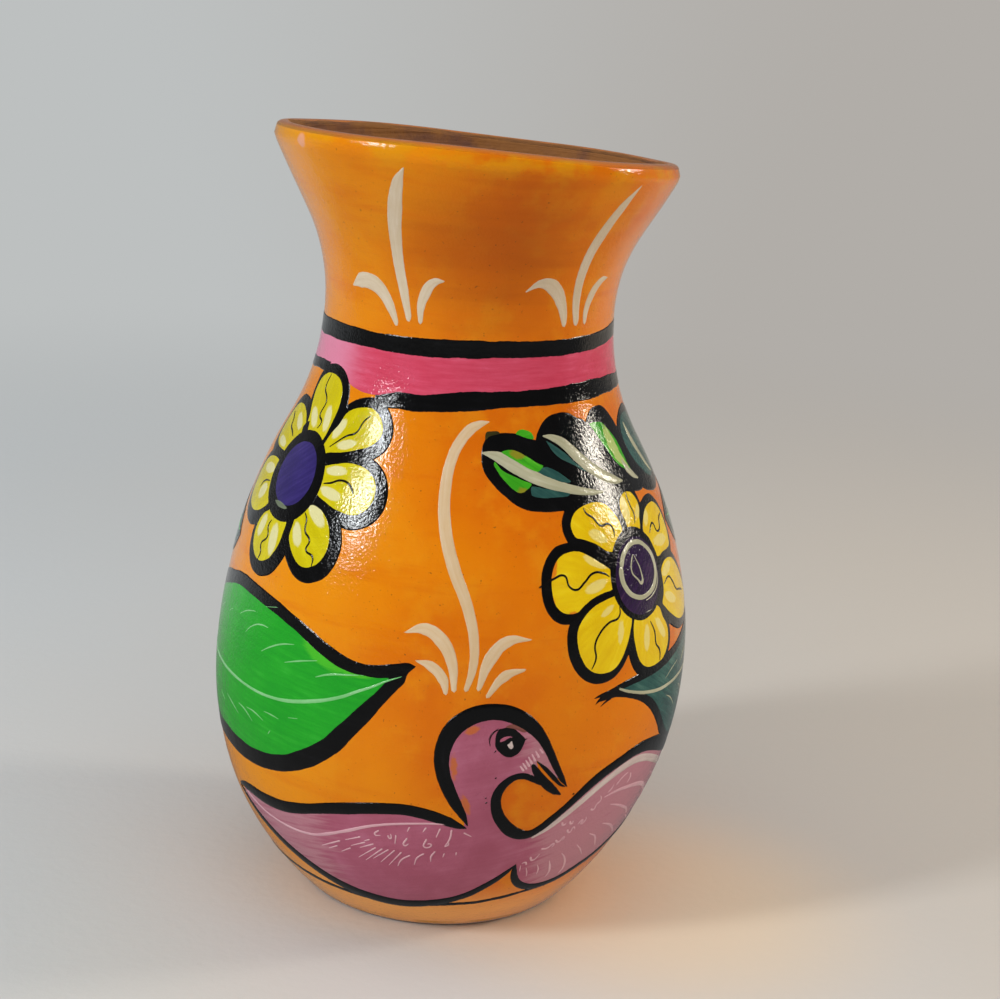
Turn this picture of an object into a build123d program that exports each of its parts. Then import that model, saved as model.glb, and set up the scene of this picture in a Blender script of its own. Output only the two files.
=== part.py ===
from build123d import *
from math import atan, atan2, cos, sin, sqrt, tan
import os

# A painted clay olla, built as a potter builds one: five clay sections luted
# together, and bands of raised paint on the outside. Lengths are millimetres.
# The pot stands on z = 0 with its foot centred on the origin, its painted
# front faces -Y, and +X is to the right of someone who looks at that front.

# Outside of the pot
foot_radius = 42
belly_radius = 72
belly_height = 72
throat_radius = 42.7
mouth_radius = 60.2
mouth_height = 230        # at the axis: the lip was cut on a slant
mouth_drop_right = 2.75   # how far the right end of the lip lies below that
mouth_drop_back = 4
flare_height = 47.5       # from the throat, the narrowest place, up to the mouth
foot_round = 2.5
shoulder_curve_share = 0.66   # of the two tangent curves between belly and throat
flare_straight_share = 0.494  # of the flare: it ends as a straight cone

# The clay
wall = 5
floor_thickness = 8
floor_curve = 16          # inside corner between floor and wall
lip_round_share = 0.44    # of the wall
joint_rise = 3            # how much higher a slanted joint comes out on the inside
base_joint_lift = 1       # above the floor
belly_joint_lift = 3      # above the belly's widest place
neck_joint_drop = 8.2     # below the lower ring, so that the collar carries every band
rim_joint_share = 0.453   # of the way from the throat up to the mouth

# The bands of paint
paint = 0.25
upper_ring_drop = 2.5     # from the throat down to the top of the upper ring
upper_ring_width = 4.6
pink_band_width = 10
lower_ring_width = 5.2
band_rise = 1.6           # how much higher the neck's bands run on its right side
foot_line_lift = 10.8     # above the table
foot_line_width = 2

overrun = 12              # how far a cutting shape passes what it cuts

# Heights that follow from the sizes above
throat_height = mouth_height - flare_height
base_joint_height = floor_thickness + base_joint_lift
belly_joint_height = belly_height + belly_joint_lift
rim_joint_height = throat_height + flare_height * rim_joint_share
upper_ring_high = throat_height - upper_ring_drop
upper_ring_low = upper_ring_high - upper_ring_width
lower_ring_high = upper_ring_low - pink_band_width
lower_ring_low = lower_ring_high - lower_ring_width
neck_joint_height = lower_ring_low - neck_joint_drop
foot_line_low = foot_line_lift
foot_line_high = foot_line_low + foot_line_width
lip_round = wall * lip_round_share

# Tangent curves of the outside
foot_curve = ((belly_radius - foot_radius) ** 2 + belly_height**2) / (2 * (belly_radius - foot_radius))
neck_inset = belly_radius - throat_radius
neck_rise = throat_height - belly_height
both_curves = (neck_inset**2 + neck_rise**2) / (2 * neck_inset)
shoulder_curve = both_curves * shoulder_curve_share
neck_curve = both_curves - shoulder_curve
shoulder_turn = atan2(neck_rise, both_curves - neck_inset)

# The flare is an arc from the throat that runs into the straight cone
flare_out = mouth_radius - throat_radius
flare_straight = sqrt(flare_out**2 + flare_height**2) * flare_straight_share
flare_tangent = (flare_height**2 + flare_out**2 - flare_straight**2) / (2 * (flare_height + flare_straight))
flare_turn = atan2(flare_out, flare_height - flare_tangent)
flare_curve = flare_tangent / tan(flare_turn / 2)


# The side of the pot, at any depth under the outside
def shoulder_end(depth):
    return belly_height + (shoulder_curve - depth) * sin(shoulder_turn)


def flare_end(depth):
    return throat_height + (flare_curve + depth) * sin(flare_turn)


def side_radius(height, depth=0):
    if height <= belly_height:
        return belly_radius - foot_curve + sqrt((foot_curve - depth) ** 2 - (belly_height - height) ** 2)
    if height <= shoulder_end(depth):
        return belly_radius - shoulder_curve + sqrt((shoulder_curve - depth) ** 2 - (height - belly_height) ** 2)
    if height <= throat_height:
        return throat_radius + neck_curve - sqrt((neck_curve + depth) ** 2 - (throat_height - height) ** 2)
    if height <= flare_end(depth):
        return throat_radius + flare_curve - sqrt((flare_curve + depth) ** 2 - (height - throat_height) ** 2)
    return side_radius(flare_end(depth), depth) + (height - flare_end(depth)) * tan(flare_turn)


def side_point(height, depth=0):
    return (side_radius(height, depth), height)


def side_arc(low, high, depth):
    return ThreePointArc(side_point(low, depth), side_point((low + high) / 2, depth), side_point(high, depth))


# Half profile of a solid pot whose surface lies at this depth, drawn past the slanted mouth
def pot_profile(depth):
    top = mouth_height + mouth_drop_right + mouth_drop_back + overrun
    bends = [0, belly_height, shoulder_end(depth), throat_height, flare_end(depth)]
    with BuildSketch(Plane.XZ) as profile:
        with BuildLine():
            for low, high in zip(bends, bends[1:]):
                side_arc(low, high, depth)
            Polyline(side_point(flare_end(depth), depth), side_point(top, depth), (0, top), (0, 0), side_point(0, depth))
        make_face()
    return profile.sketch


def lowest_corner(profile):
    return profile.vertices().group_by(Axis.Z)[0].sort_by(Axis.X)[-1]


# The hollow has a flat floor with a rounded corner
def hollow_profile():
    size = 2 * belly_radius
    under_floor = Plane.XZ * Pos(0, floor_thickness) * Rectangle(size, size, align=(Align.CENTER, Align.MAX))
    profile = pot_profile(wall) - under_floor
    return fillet(lowest_corner(profile), floor_curve)


# Everything below the slanted joint that meets the outside at this height
def under_joint(height):
    edge_radius, edge_height = side_point(height)
    far = belly_radius + overrun
    slant = joint_rise / wall
    with BuildSketch(Plane.XZ) as under:
        with BuildLine():
            Polyline(
                (0, -belly_radius),
                (far, -belly_radius),
                (far, edge_height - (far - edge_radius) * slant),
                (0, edge_height + edge_radius * slant),
                close=True,
            )
        make_face()
    return under.sketch


# One wall profile is cut at the joints, and each length of it is turned about Z
solid_profile = pot_profile(0)
wall_profile = fillet(lowest_corner(solid_profile), foot_round) - hollow_profile()


def make_base_disc():
    return revolve(wall_profile & under_joint(base_joint_height), Axis.Z)


def make_section(low_joint, high_joint):
    section = (wall_profile & under_joint(high_joint)) - under_joint(low_joint)
    return revolve(section, Axis.Z)


# The rim coil is cut off along the slanted mouth, and both edges of the cut are rounded to a lip
def make_rim_coil():
    coil = revolve(wall_profile - under_joint(rim_joint_height), Axis.Z)
    slope_right = mouth_drop_right / mouth_radius
    slope_back = mouth_drop_back / mouth_radius
    mouth = Plane(origin=(0, 0, mouth_height), x_dir=(1, 0, -slope_right), z_dir=(slope_right, slope_back, 1))
    size = 3 * mouth_radius
    above = extrude(mouth * Rectangle(size, size), mouth_radius)
    coil = coil - above
    lip = min(coil.faces(), key=lambda face: abs(mouth.to_local_coords(face.center()).Z))
    return fillet(lip.edges(), lip_round)


# Bands of paint are a skin on the outside, kept between two slanted planes
def between(low, high):
    slant = band_rise / throat_radius
    wide = 3 * throat_radius
    floor_plane = Plane(origin=(0, 0, low), x_dir=(1, 0, slant), z_dir=(-slant, 0, 1))
    return extrude(floor_plane * Rectangle(wide, wide), (high - low) * cos(atan(slant)))


def make_neck_band(low, high):
    skin = revolve(pot_profile(-paint) - pot_profile(0), Axis.Z)
    return skin & between(low, high)


def make_foot_line():
    with BuildSketch(Plane.XZ) as profile:
        with BuildLine():
            side_arc(foot_line_low, foot_line_high, -paint)
            Line(side_point(foot_line_high, -paint), side_point(foot_line_high))
            side_arc(foot_line_high, foot_line_low, 0)
            Line(side_point(foot_line_low), side_point(foot_line_low, -paint))
        make_face()
    return revolve(profile.sketch, Axis.Z)


parts = {
    "base_disc": make_base_disc(),
    "lower_bowl": make_section(base_joint_height, belly_joint_height),
    "upper_bowl": make_section(belly_joint_height, neck_joint_height),
    "neck_collar": make_section(neck_joint_height, rim_joint_height),
    "rim_coil": make_rim_coil(),
    "upper_ring": make_neck_band(upper_ring_low, upper_ring_high),
    "pink_band": make_neck_band(lower_ring_high, upper_ring_low),
    "lower_ring": make_neck_band(lower_ring_low, lower_ring_high),
    "foot_line": make_foot_line(),
}

os.makedirs("parts", exist_ok=True)
for name, part in parts.items():
    export_step(part, f"parts/{name}.step")
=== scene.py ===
import bpy
import numpy as np
from math import cos, pi, radians, sin
from mathutils import Matrix, Vector, noise
from mathutils.bvhtree import BVHTree
from mathutils.geometry import delaunay_2d_cdt


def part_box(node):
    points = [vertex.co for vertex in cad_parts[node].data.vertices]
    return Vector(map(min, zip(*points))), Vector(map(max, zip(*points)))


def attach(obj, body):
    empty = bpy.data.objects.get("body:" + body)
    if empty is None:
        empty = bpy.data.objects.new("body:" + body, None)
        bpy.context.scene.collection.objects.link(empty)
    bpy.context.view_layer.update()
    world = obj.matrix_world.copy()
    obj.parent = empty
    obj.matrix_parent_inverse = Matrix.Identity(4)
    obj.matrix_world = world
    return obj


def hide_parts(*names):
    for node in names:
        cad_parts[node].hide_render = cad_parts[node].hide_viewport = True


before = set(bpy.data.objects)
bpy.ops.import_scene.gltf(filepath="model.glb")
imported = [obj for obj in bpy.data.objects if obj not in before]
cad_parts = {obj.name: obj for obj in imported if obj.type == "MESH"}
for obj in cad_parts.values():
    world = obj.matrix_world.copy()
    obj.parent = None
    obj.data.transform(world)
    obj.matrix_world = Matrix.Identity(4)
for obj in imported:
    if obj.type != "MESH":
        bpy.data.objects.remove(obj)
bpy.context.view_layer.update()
scene = bpy.context.scene
scene.view_settings.view_transform = "Standard"
mm = 0.001
noise.seed_set(7)     # without it noise_vector differs from run to run

# The painted clay olla. Heights, radii and places on the map of the painting are in millimetres,
# and only finished points are in metres. The map is the outside unrolled: the first number runs
# round the pot from its front, 72 mm for each radian, and the second runs up along the wall.

shape = {
    "clayNodes": ["base_disc", "lower_bowl", "upper_bowl", "neck_collar", "rim_coil"],
    "level": 0.5,          # spacing of the heights at which the wall is measured
    "rays": 36,
    "firstRay": 0.37,      # of a step round, so that no ray meets the seam of the facets
    "rayStart": 0.2,       # metres
    "lastLevel": 222,      # the slanted mouth starts above this, and the wall runs on straight
    "topLevel": 250,
    "softening": 4.0,      # takes the facets out of the measured curve
    "softReach": 12,       # levels
    "mapRadius": 72.0,
    "mapLevel": 72.0,      # this height
    "mapPlace": 80.3,      # has this place on the map
    "leanHeights": [0, 25, 60, 95, 150, 250],     # the hand-thrown axis wanders a little
    "leanSideways": [-0.5, -1.1, 0.0, 1.0, 0.0, 0.0],
    "wobble": 0.13,
    "wobbles": [     # waves round the pot, their twist up the wall, start and size
        (3, 0.021, 1.1, 1.0), (5, -0.034, 2.3, 0.6), (2, 0.05, 0.0, 0.5),
    ],
    "pulledIn": 1.5,       # left end of the mouth
    "pulledFrom": 196,
    "bulge": 1.3,          # the potter's fingers left the rim a little fuller below the lip
    "bulgeReach": 34,
    "lipDrop": 1.6,        # height of the round lip
    "lipRound": 1.5,       # its outer edge is wiped round by hand
    "lipRoundReach": 5.0,
    "mouthHeight": 230.0,  # at the axis; the lip was cut on a slant
    "mouthRadius": 60.2,
    "mouthDropRight": 2.75,
    "mouthDropBack": 4.0,
}


def smoothStep(low, high, value):
    t = np.clip((value - low) / (high - low), 0, 1)
    return t * t * (3 - 2 * t)


def easedThrough(places, values, at, period=None):     # a soft curve through given values
    places, values = np.array(places, float), np.array(values, float)
    if period:
        places = np.concatenate([places - period, places, places + period])
        values = np.tile(values, 3)
    slopes = np.gradient(values, places)
    i = np.clip(np.searchsorted(places, at) - 1, 0, len(places) - 2)
    gap = places[i + 1] - places[i]
    t = np.clip((at - places[i]) / gap, 0, 1)
    return (values[i] * (1 + 2 * t) * (1 - t) ** 2 + slopes[i] * gap * t * (1 - t) ** 2
            + values[i + 1] * t * t * (3 - 2 * t) + slopes[i + 1] * gap * t * t * (t - 1))


def wallTree():
    points, faces = [], []
    for node in shape["clayNodes"]:
        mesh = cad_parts[node].data
        first = len(points)
        points += [vertex.co.copy() for vertex in mesh.vertices]
        faces += [[first + i for i in face.vertices] for face in mesh.polygons]
    return BVHTree.FromPolygons(points, faces)


def measuredRadius(tree, height, fromInside):
    found = []
    for k in range(shape["rays"]):
        turn = 2 * pi * (k + shape["firstRay"]) / shape["rays"]
        out = Vector((sin(turn), -cos(turn), 0))
        start = Vector((0, 0, height * mm)) + (Vector() if fromInside else out * shape["rayStart"])
        hit = tree.ray_cast(start, out if fromInside else -out)[0]
        if hit is not None:
            found.append(hit.to_2d().length / mm)
    return sum(found) / len(found)


def measuredWall(fromInside, first, sharpBelow):
    tree = wallTree()
    levels = np.arange(first, shape["lastLevel"], shape["level"])
    radii = np.array([measuredRadius(tree, h, fromInside) for h in levels])
    reach = shape["softReach"]
    rise = (radii[-1] - radii[-1 - reach]) / (levels[-1] - levels[-1 - reach])
    more = np.arange(levels[-1] + shape["level"], shape["topLevel"], shape["level"])
    levels = np.concatenate([levels, more])
    radii = np.concatenate([radii, radii[-1] + rise * (more - levels[len(radii) - 1])])
    weights = np.exp(-0.5 * (np.arange(-reach, reach + 1) / shape["softening"]) ** 2)
    padded = np.pad(radii, reach, mode="reflect", reflect_type="odd")
    soft = np.convolve(padded, weights / weights.sum(), mode="valid")
    keep = smoothStep(sharpBelow, sharpBelow + 6, levels)
    return levels, radii * (1 - keep) + soft * keep


outerLevels, outerRadii = measuredWall(False, 0.1, 5)
innerLevels, innerRadii = measuredWall(True, 8.1, 26)
floorHeight = wallTree().ray_cast(Vector((0, 0, 0.1)), Vector((0, 0, -1)))[0].z / mm
wallSteps = np.hypot(np.diff(outerLevels), np.diff(outerRadii))
outerPlaces = np.concatenate([[0], np.cumsum(wallSteps)])
outerPlaces += shape["mapPlace"] - np.interp(shape["mapLevel"], outerLevels, outerPlaces)


mouth = (shape["mouthHeight"], -shape["mouthDropRight"] / shape["mouthRadius"],
         -shape["mouthDropBack"] / shape["mouthRadius"])     # height, and its rise to the right and back


def mouthAt(turn):
    return mouth[0] + (mouth[1] * np.sin(turn) - mouth[2] * np.cos(turn)) * (shape["mouthRadius"] - 2)


def skin(turn, height, inside=False):     # points of the outer or inner wall, in metres
    turn, height = np.broadcast_arrays(np.asarray(turn, float), np.asarray(height, float))
    if inside:
        radius = np.interp(height, innerLevels, innerRadii)
    else:
        radius = np.interp(height, outerLevels, outerRadii)
    ripple = sum(size * np.sin(waves * turn + twist * height + start)
                 for waves, twist, start, size in shape["wobbles"])
    radius = radius + shape["wobble"] * ripple * smoothStep(4, 30, height)
    under = mouthAt(turn) - height
    fuller = smoothStep(-0.5, 3.8, under) * smoothStep(shape["bulgeReach"], 6, under)
    radius = radius + shape["bulge"] * fuller
    if not inside:
        radius = radius - shape["lipRound"] * smoothStep(shape["lipRoundReach"], 0.2, under)
    leftEnd = np.clip(-np.sin(turn), 0, 1) ** 2
    radius = radius - shape["pulledIn"] * leftEnd * smoothStep(shape["pulledFrom"], 232, height)
    lean = easedThrough(shape["leanHeights"], shape["leanSideways"], height)
    return np.stack([radius * np.sin(turn) + lean, -radius * np.cos(turn), height], -1) * mm


def skinNormal(turn, height, inside=False):
    step = 0.8
    aside = step / shape["mapRadius"]
    sideways = skin(turn + aside, height, inside) - skin(turn - aside, height, inside)
    upwards = skin(turn, height + step, inside) - skin(turn, height - step, inside)
    normal = np.cross(sideways, upwards)
    normal /= np.linalg.norm(normal, axis=-1, keepdims=True)
    return -normal if inside else normal


def mapHeight(s):
    return np.interp(s, outerPlaces, outerLevels)


def mapStretch(s):     # real width of one millimetre across the map
    return np.interp(mapHeight(s), outerLevels, outerRadii) / shape["mapRadius"]


print("wall measured, floor at", round(floorHeight, 2))


# Shader sums are written with wires, and every other node comes from a bench

def join(tree, value, socket):
    if isinstance(value, Wire):
        tree.links.new(value.socket, socket)
    else:
        socket.default_value = value


class Wire:
    def __init__(self, tree, socket):
        self.tree = tree
        self.socket = socket

    def sums(self, operation, *values):
        node = self.tree.nodes.new("ShaderNodeMath")
        node.operation = operation
        for value, socket in zip(values, node.inputs):
            join(self.tree, value, socket)
        return Wire(self.tree, node.outputs[0])

    def __add__(self, other):
        return self.sums("ADD", self, other)

    def __radd__(self, other):
        return self.sums("ADD", other, self)

    def __sub__(self, other):
        return self.sums("SUBTRACT", self, other)

    def __rsub__(self, other):
        return self.sums("SUBTRACT", other, self)

    def __mul__(self, other):
        return self.sums("MULTIPLY", self, other)

    def __truediv__(self, other):
        return self.sums("DIVIDE", self, other)

    def __pow__(self, other):
        return self.sums("POWER", self, other)

    def least(self, other):
        return self.sums("MINIMUM", self, other)

    def most(self, other):
        return self.sums("MAXIMUM", self, other)

    def beside(self, name):     # another output of the same node
        return Wire(self.tree, self.socket.node.outputs[name])


class Bench:
    def __init__(self, tree):
        self.tree = tree

    def add(self, kind, settings=None, sockets=None, out=0):
        node = self.tree.nodes.new(kind)
        for name, value in (settings or {}).items():
            setattr(node, name, value)
        for name, value in (sockets or {}).items():
            join(self.tree, value, node.inputs[name])
        return Wire(self.tree, node.outputs[out]) if len(node.outputs) else node

    def place(self, scale=(1, 1, 1)):
        spot = self.add("ShaderNodeTexCoord", out="Object")
        return self.add("ShaderNodeMapping", None, {"Vector": spot, "Scale": scale})

    def grain(self, vector, scale, detail=2.0, roughness=0.5):
        sockets = {"Vector": vector, "Scale": scale, "Detail": detail, "Roughness": roughness}
        return self.add("ShaderNodeTexNoise", None, sockets)

    def between(self, value, low, high):     # 0 at low, 1 at high, and eased
        sockets = {"Value": value, "From Min": low, "From Max": high}
        return self.add("ShaderNodeMapRange", {"interpolation_type": "SMOOTHSTEP"}, sockets)

    def awayFrom(self, spot, centre):
        return self.add("ShaderNodeVectorMath", {"operation": "DISTANCE"}, {0: spot, 1: centre}, "Value")

    def blend(self, factor, first, second):
        return self.add("ShaderNodeMix", {"data_type": "RGBA"}, {0: factor, 6: first, 7: second}, 2)

    def mark(self, name):
        return self.add("ShaderNodeAttribute", {"attribute_name": name}, out="Fac")


def colour(red, green, blue):     # screen values, 0 to 255
    steps = [v / 255 for v in (red, green, blue)]
    return tuple(v / 12.92 if v <= 0.04045 else ((v + 0.055) / 1.055) ** 2.4 for v in steps) + (1.0,)


varnish = {
    "roughness": 0.1,
    "gloss": 0.5,
    "pits": 1300,         # grains of the sprayed varnish, to the metre
    "pitDepth": 0.11,     # mm
    "ripples": 150,
    "rippleDepth": 0.22,
}


def newMaterial(name):
    material = bpy.data.materials.new(name)
    material.use_nodes = True
    material.node_tree.nodes.clear()
    return material, Bench(material.node_tree)


def varnishHeight(bench):     # in metres
    spot = bench.place()
    pits = bench.grain(spot, varnish["pits"], 2.0, 0.55)
    ripples = bench.grain(spot, varnish["ripples"], 3.0, 0.5)
    return (pits - 0.5) * (varnish["pitDepth"] * mm) + (ripples - 0.5) * (varnish["rippleDepth"] * mm)


def finishMaterial(bench, base, roughness, height):
    bump = bench.add("ShaderNodeBump", None, {"Strength": 1.0, "Distance": 1.0, "Height": height})
    sockets = {"Base Color": base, "Roughness": roughness, "Normal": bump,
               "Specular IOR Level": varnish["gloss"]}
    shader = bench.add("ShaderNodeBsdfPrincipled", None, sockets)
    bench.add("ShaderNodeOutputMaterial", None, {"Surface": shader})


ground = {
    "orange": colour(230, 126, 0),
    "deep": colour(216, 104, 0),
    "yellow": colour(232, 146, 12),
    "darkPaintAndShade": colour(186, 86, 4),
    "speck": colour(96, 52, 20),
    "mustard": colour(222, 146, 6),
    "clay": colour(124, 76, 42),
    "darkClay": colour(98, 60, 48),
    "ochre": colour(160, 102, 26),
    # painted bounce light: the foot is lighter and yellower, as if lit from the floor
    "foot": colour(255, 182, 100),
    # paler places on the lip's crest and at one spot on the rim's left front
    "paleRim": colour(228, 158, 118),
    "lip": colour(206, 116, 24),
    "darkPaintAndShadeSpot": (3, -42, 209),     # mm, a darker place on the front of the neck: darker paint and painted shade
    "darkPaintAndShadeReach": 36,
    "paleRimSpot": (-49, -35.6, 230.6),
    "paleRimReach": 2.4,
}


def groundMaterial():
    material, bench = newMaterial("orangeGround")
    spot = bench.place()
    blotch = bench.grain(spot, 22, 3.0)
    cloud = bench.grain(spot, 75, 4.0, 0.6)
    streak = bench.grain(bench.place((22, 22, 190)), 1.0, 4.0, 0.6)
    across = bench.add("ShaderNodeSeparateXYZ", None, {"Vector": spot})
    low = across.beside("Z")
    leftSide = bench.between(across + (blotch - 0.5) * 0.06, 0.015, -0.06)
    base = bench.blend(bench.between(blotch, 0.36, 0.66), ground["orange"], ground["deep"])
    base = bench.blend(leftSide * 0.85, base, ground["yellow"])
    base = bench.blend(bench.between(cloud, 0.47, 0.7) * 0.5, base, ground["yellow"])
    base = bench.blend(bench.between(streak, 0.52, 0.74) * 0.5, base, ground["deep"])
    # darker paint and painted shade on the front of the neck
    away = bench.awayFrom(spot, tuple(v * mm for v in ground["darkPaintAndShadeSpot"]))
    darkPaintAndShade = bench.between(away + (streak - 0.5) * 0.03, ground["darkPaintAndShadeReach"] * mm, 0.006)
    base = bench.blend(darkPaintAndShade * 0.7, base, ground["darkPaintAndShade"])
    amber = bench.between(low + (blotch - 0.5) * 0.05, 0.085, 0.03)
    base = bench.blend(amber * (leftSide * 0.4 + 0.12), base, ground["yellow"])
    # painted bounce light: the lowest part of the wall is lighter and yellower
    base = bench.blend(bench.between(low + (cloud - 0.5) * 0.006, 0.024, 0.006) * 0.85, base, ground["foot"])
    specks = bench.between(bench.grain(spot, 1100, 2.0, 0.5), 0.69, 0.77)
    base = bench.blend(specks * 0.6, base, ground["speck"])
    # bare clay inside, under the foot and where the lip is worn
    inner = bench.mark("inside")
    depth = bench.mark("depth")
    edge = inner + (cloud - 0.5) * 0.5 + (blotch - 0.5) * 0.25
    bare = bench.between(edge, 0.62, 0.7)
    fine = bench.grain(spot, 380, 4.0, 0.65)
    patchy = bench.between(blotch * 0.7 + fine * 0.3, 0.4, 0.62)
    clay = bench.blend(patchy, ground["clay"], ground["darkClay"])
    mist = bench.between(blotch * 0.5 + cloud * 0.5 - depth * 0.6, 0.4, 0.54)
    clay = bench.blend(mist * 0.6, clay, ground["ochre"])
    rim = bench.between(depth + (cloud - 0.5) * 0.16, 0.19, 0.02)
    base = bench.blend(rim * bench.between(cloud * 0.6 + streak * 0.4, 0.44, 0.58), base, ground["mustard"])
    base = bench.blend(bench.between(inner, 0.1, 0.3), base, ground["lip"])
    # paler along the lip's crest and at one spot on the rim's left front
    crest = bench.between(inner, 0.2, 0.42) * bench.between(cloud, 0.56, 0.7)
    base = bench.blend(crest * 0.5, base, ground["paleRim"])
    away = bench.awayFrom(spot, tuple(v * mm for v in ground["paleRimSpot"]))
    base = bench.blend(bench.between(away, ground["paleRimReach"] * mm, 0.0014), base, ground["paleRim"])
    base = bench.blend(bare, base, clay)
    rings = bench.grain(bench.place((6, 6, 420)), 1.0, 3.0)     # left by the throwing
    clayHeight = (fine - 0.5) * (0.5 * mm) + (rings - 0.5) * (1.1 * mm)
    paintHeight = varnishHeight(bench) + (streak - 0.5) * (0.1 * mm)
    height = paintHeight * (1 - bare) + clayHeight * bare
    roughness = (varnish["roughness"] + (cloud - 0.5) * 0.12) * (1 - bare) + bare * 0.8
    finishMaterial(bench, base, roughness, height)
    return material


def paintMaterial(name, main, dark, light, pale=None, tint=None, streaks=0.6, dabbed=0.55, softEdge=0.11):
    material, bench = newMaterial(name)
    spot = bench.place()
    strokes = bench.add("ShaderNodeUVMap", {"uv_map": "brush"})
    strokes = bench.add("ShaderNodeMapping", None, {"Vector": strokes, "Scale": (0.06, 0.75, 1)})
    streak = bench.grain(strokes, 1.0, 3.0, 0.6)
    cloud = bench.grain(spot, 90, 3.0, 0.55)
    uneven = streak * streaks + cloud * (1 - streaks)
    base = bench.blend(bench.between(uneven, 0.35, 0.68), colour(*dark), colour(*main))
    base = bench.blend(bench.between(uneven, 0.55, 0.78) * 0.8, base, colour(*light))
    if pale:
        rough = bench.mark("pale") + (streak - 0.5) * dabbed
        base = bench.blend(bench.between(rough, 0.49 - softEdge, 0.49 + softEdge) * 0.92, base, colour(*pale))
    if tint:
        rough = bench.mark("tint") + (streak - 0.5) * 0.5
        base = bench.blend(bench.between(rough, 0.35, 0.75) * 0.9, base, colour(*tint))
    height = varnishHeight(bench) + (streak - 0.5) * (0.05 * mm)
    roughness = varnish["roughness"] + (cloud - 0.5) * 0.08
    finishMaterial(bench, base, roughness, height)
    return material


paints = {     # the slot, then the main, dark and light colour, and what else shows in the brushwork
    "black": ("black_paint", (9, 9, 10), (5, 5, 6), (22, 22, 27), {}),
    # pink's pale colour is a painted sheen on the left of the band
    "pink": ("pink_paint", (216, 82, 110), (206, 66, 92), (226, 108, 136),
             {"pale": (222, 134, 162), "dabbed": 0.35, "softEdge": 0.42}),
    "yellow": ("yellow_paint", (214, 200, 18), (198, 182, 6), (226, 216, 54), {"pale": (222, 216, 160)}),
    "warmYellow": ("yellow_paint", (240, 208, 14), (230, 188, 4), (244, 222, 56),
                   {"pale": (238, 218, 124), "tint": (226, 118, 20)}),
    # green's tint is the painted sheen near the green leaf's right end
    "green": ("green_paint", (36, 166, 38), (28, 154, 36), (54, 176, 54),
              {"pale": (160, 205, 150), "tint": (74, 186, 40)}),
    "brightGreen": ("green_paint", (72, 178, 34), (52, 150, 26), (120, 198, 62),
                    {"pale": (186, 202, 122), "tint": (142, 132, 34)}),
    "teal": ("green_paint", (56, 100, 92), (34, 72, 70), (94, 130, 116), {}),
    # olive is the colour of the painted glint on the left flower's heart
    "olive": ("green_paint", (120, 132, 108), (96, 104, 84), (150, 158, 130), {}),
    "darkOlive": ("green_paint", (70, 64, 24), (46, 42, 18), (96, 92, 36), {}),
    "mauve": ("pink_paint", (177, 98, 122), (165, 86, 108), (185, 114, 139),
              {"pale": (186, 128, 140), "tint": (196, 104, 52), "streaks": 0.25, "dabbed": 1.1,
               "softEdge": 0.22}),
    "smear": ("pink_paint", (136, 82, 72), (112, 62, 60), (150, 96, 84), {}),
    "violet": ("violet_paint", (58, 46, 114), (44, 34, 94), (78, 64, 134), {}),
    "darkViolet": ("violet_paint", (52, 28, 72), (34, 18, 50), (104, 70, 88), {}),
    "cream": ("cream_paint", (221, 204, 180), (210, 189, 158), (227, 213, 194), {}),
    "warmCream": ("cream_paint", (222, 197, 162), (214, 182, 140), (226, 206, 176), {}),
    "greyCream": ("cream_paint", (188, 186, 158), (170, 168, 138), (206, 204, 182), {}),
    "leafLight": ("cream_paint", (150, 208, 150), (112, 190, 112), (184, 220, 180), {}),
    "wingLight": ("cream_paint", (222, 178, 186), (204, 152, 164), (230, 196, 200), {}),
    "wingWhite": ("cream_paint", (214, 198, 192), (196, 176, 172), (224, 212, 208), {}),
}

coats = {"ground": (groundMaterial(), "orange_ground")}
for paint, (slot, main, dark, light, more) in paints.items():
    coats[paint] = (paintMaterial(paint + "Paint", main, dark, light, **more), slot)
print("paints mixed")


# Meshes of the clay

def addPiece(name, mesh, coat, node=None):
    material, slot = coats[coat]
    mesh.name = name
    if not mesh.materials:
        mesh.materials.append(material)
    piece = bpy.data.objects.new(name, mesh)
    scene.collection.objects.link(piece)
    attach(piece, "root")
    if node:
        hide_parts(node)
    return piece


def plainMesh(points, faces, normals=None, brush=None, marks=None):
    mesh = bpy.data.meshes.new("making")
    mesh.from_pydata([tuple(p) for p in points], [], [tuple(map(int, face)) for face in faces])
    mesh.polygons.foreach_set("use_smooth", [True] * len(mesh.polygons))
    corner = np.zeros(len(mesh.loops), int)
    mesh.loops.foreach_get("vertex_index", corner)
    if brush is not None:
        layer = mesh.uv_layers.new(name="brush")
        layer.data.foreach_set("uv", np.asarray(brush, float)[corner].ravel())
    for name, values in (marks or {}).items():
        mark = mesh.attributes.new(name, "FLOAT", "POINT")
        mark.data.foreach_set("value", np.asarray(values, float))
    if normals is not None:
        mesh.normals_split_custom_set(normals[corner])
    return mesh


pot = {
    "columns": 216,
    "rowHeight": 2.4,
    "lipRows": 10,
    "floorRows": 14,
    "floorLow": 8.12,       # the measured inside ends here, just above the floor
    "footRows": [8, 18, 27, 34, 38.5],      # radii under the foot
    "footMiddle": -0.5,     # mm to the right of the axis
}


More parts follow.
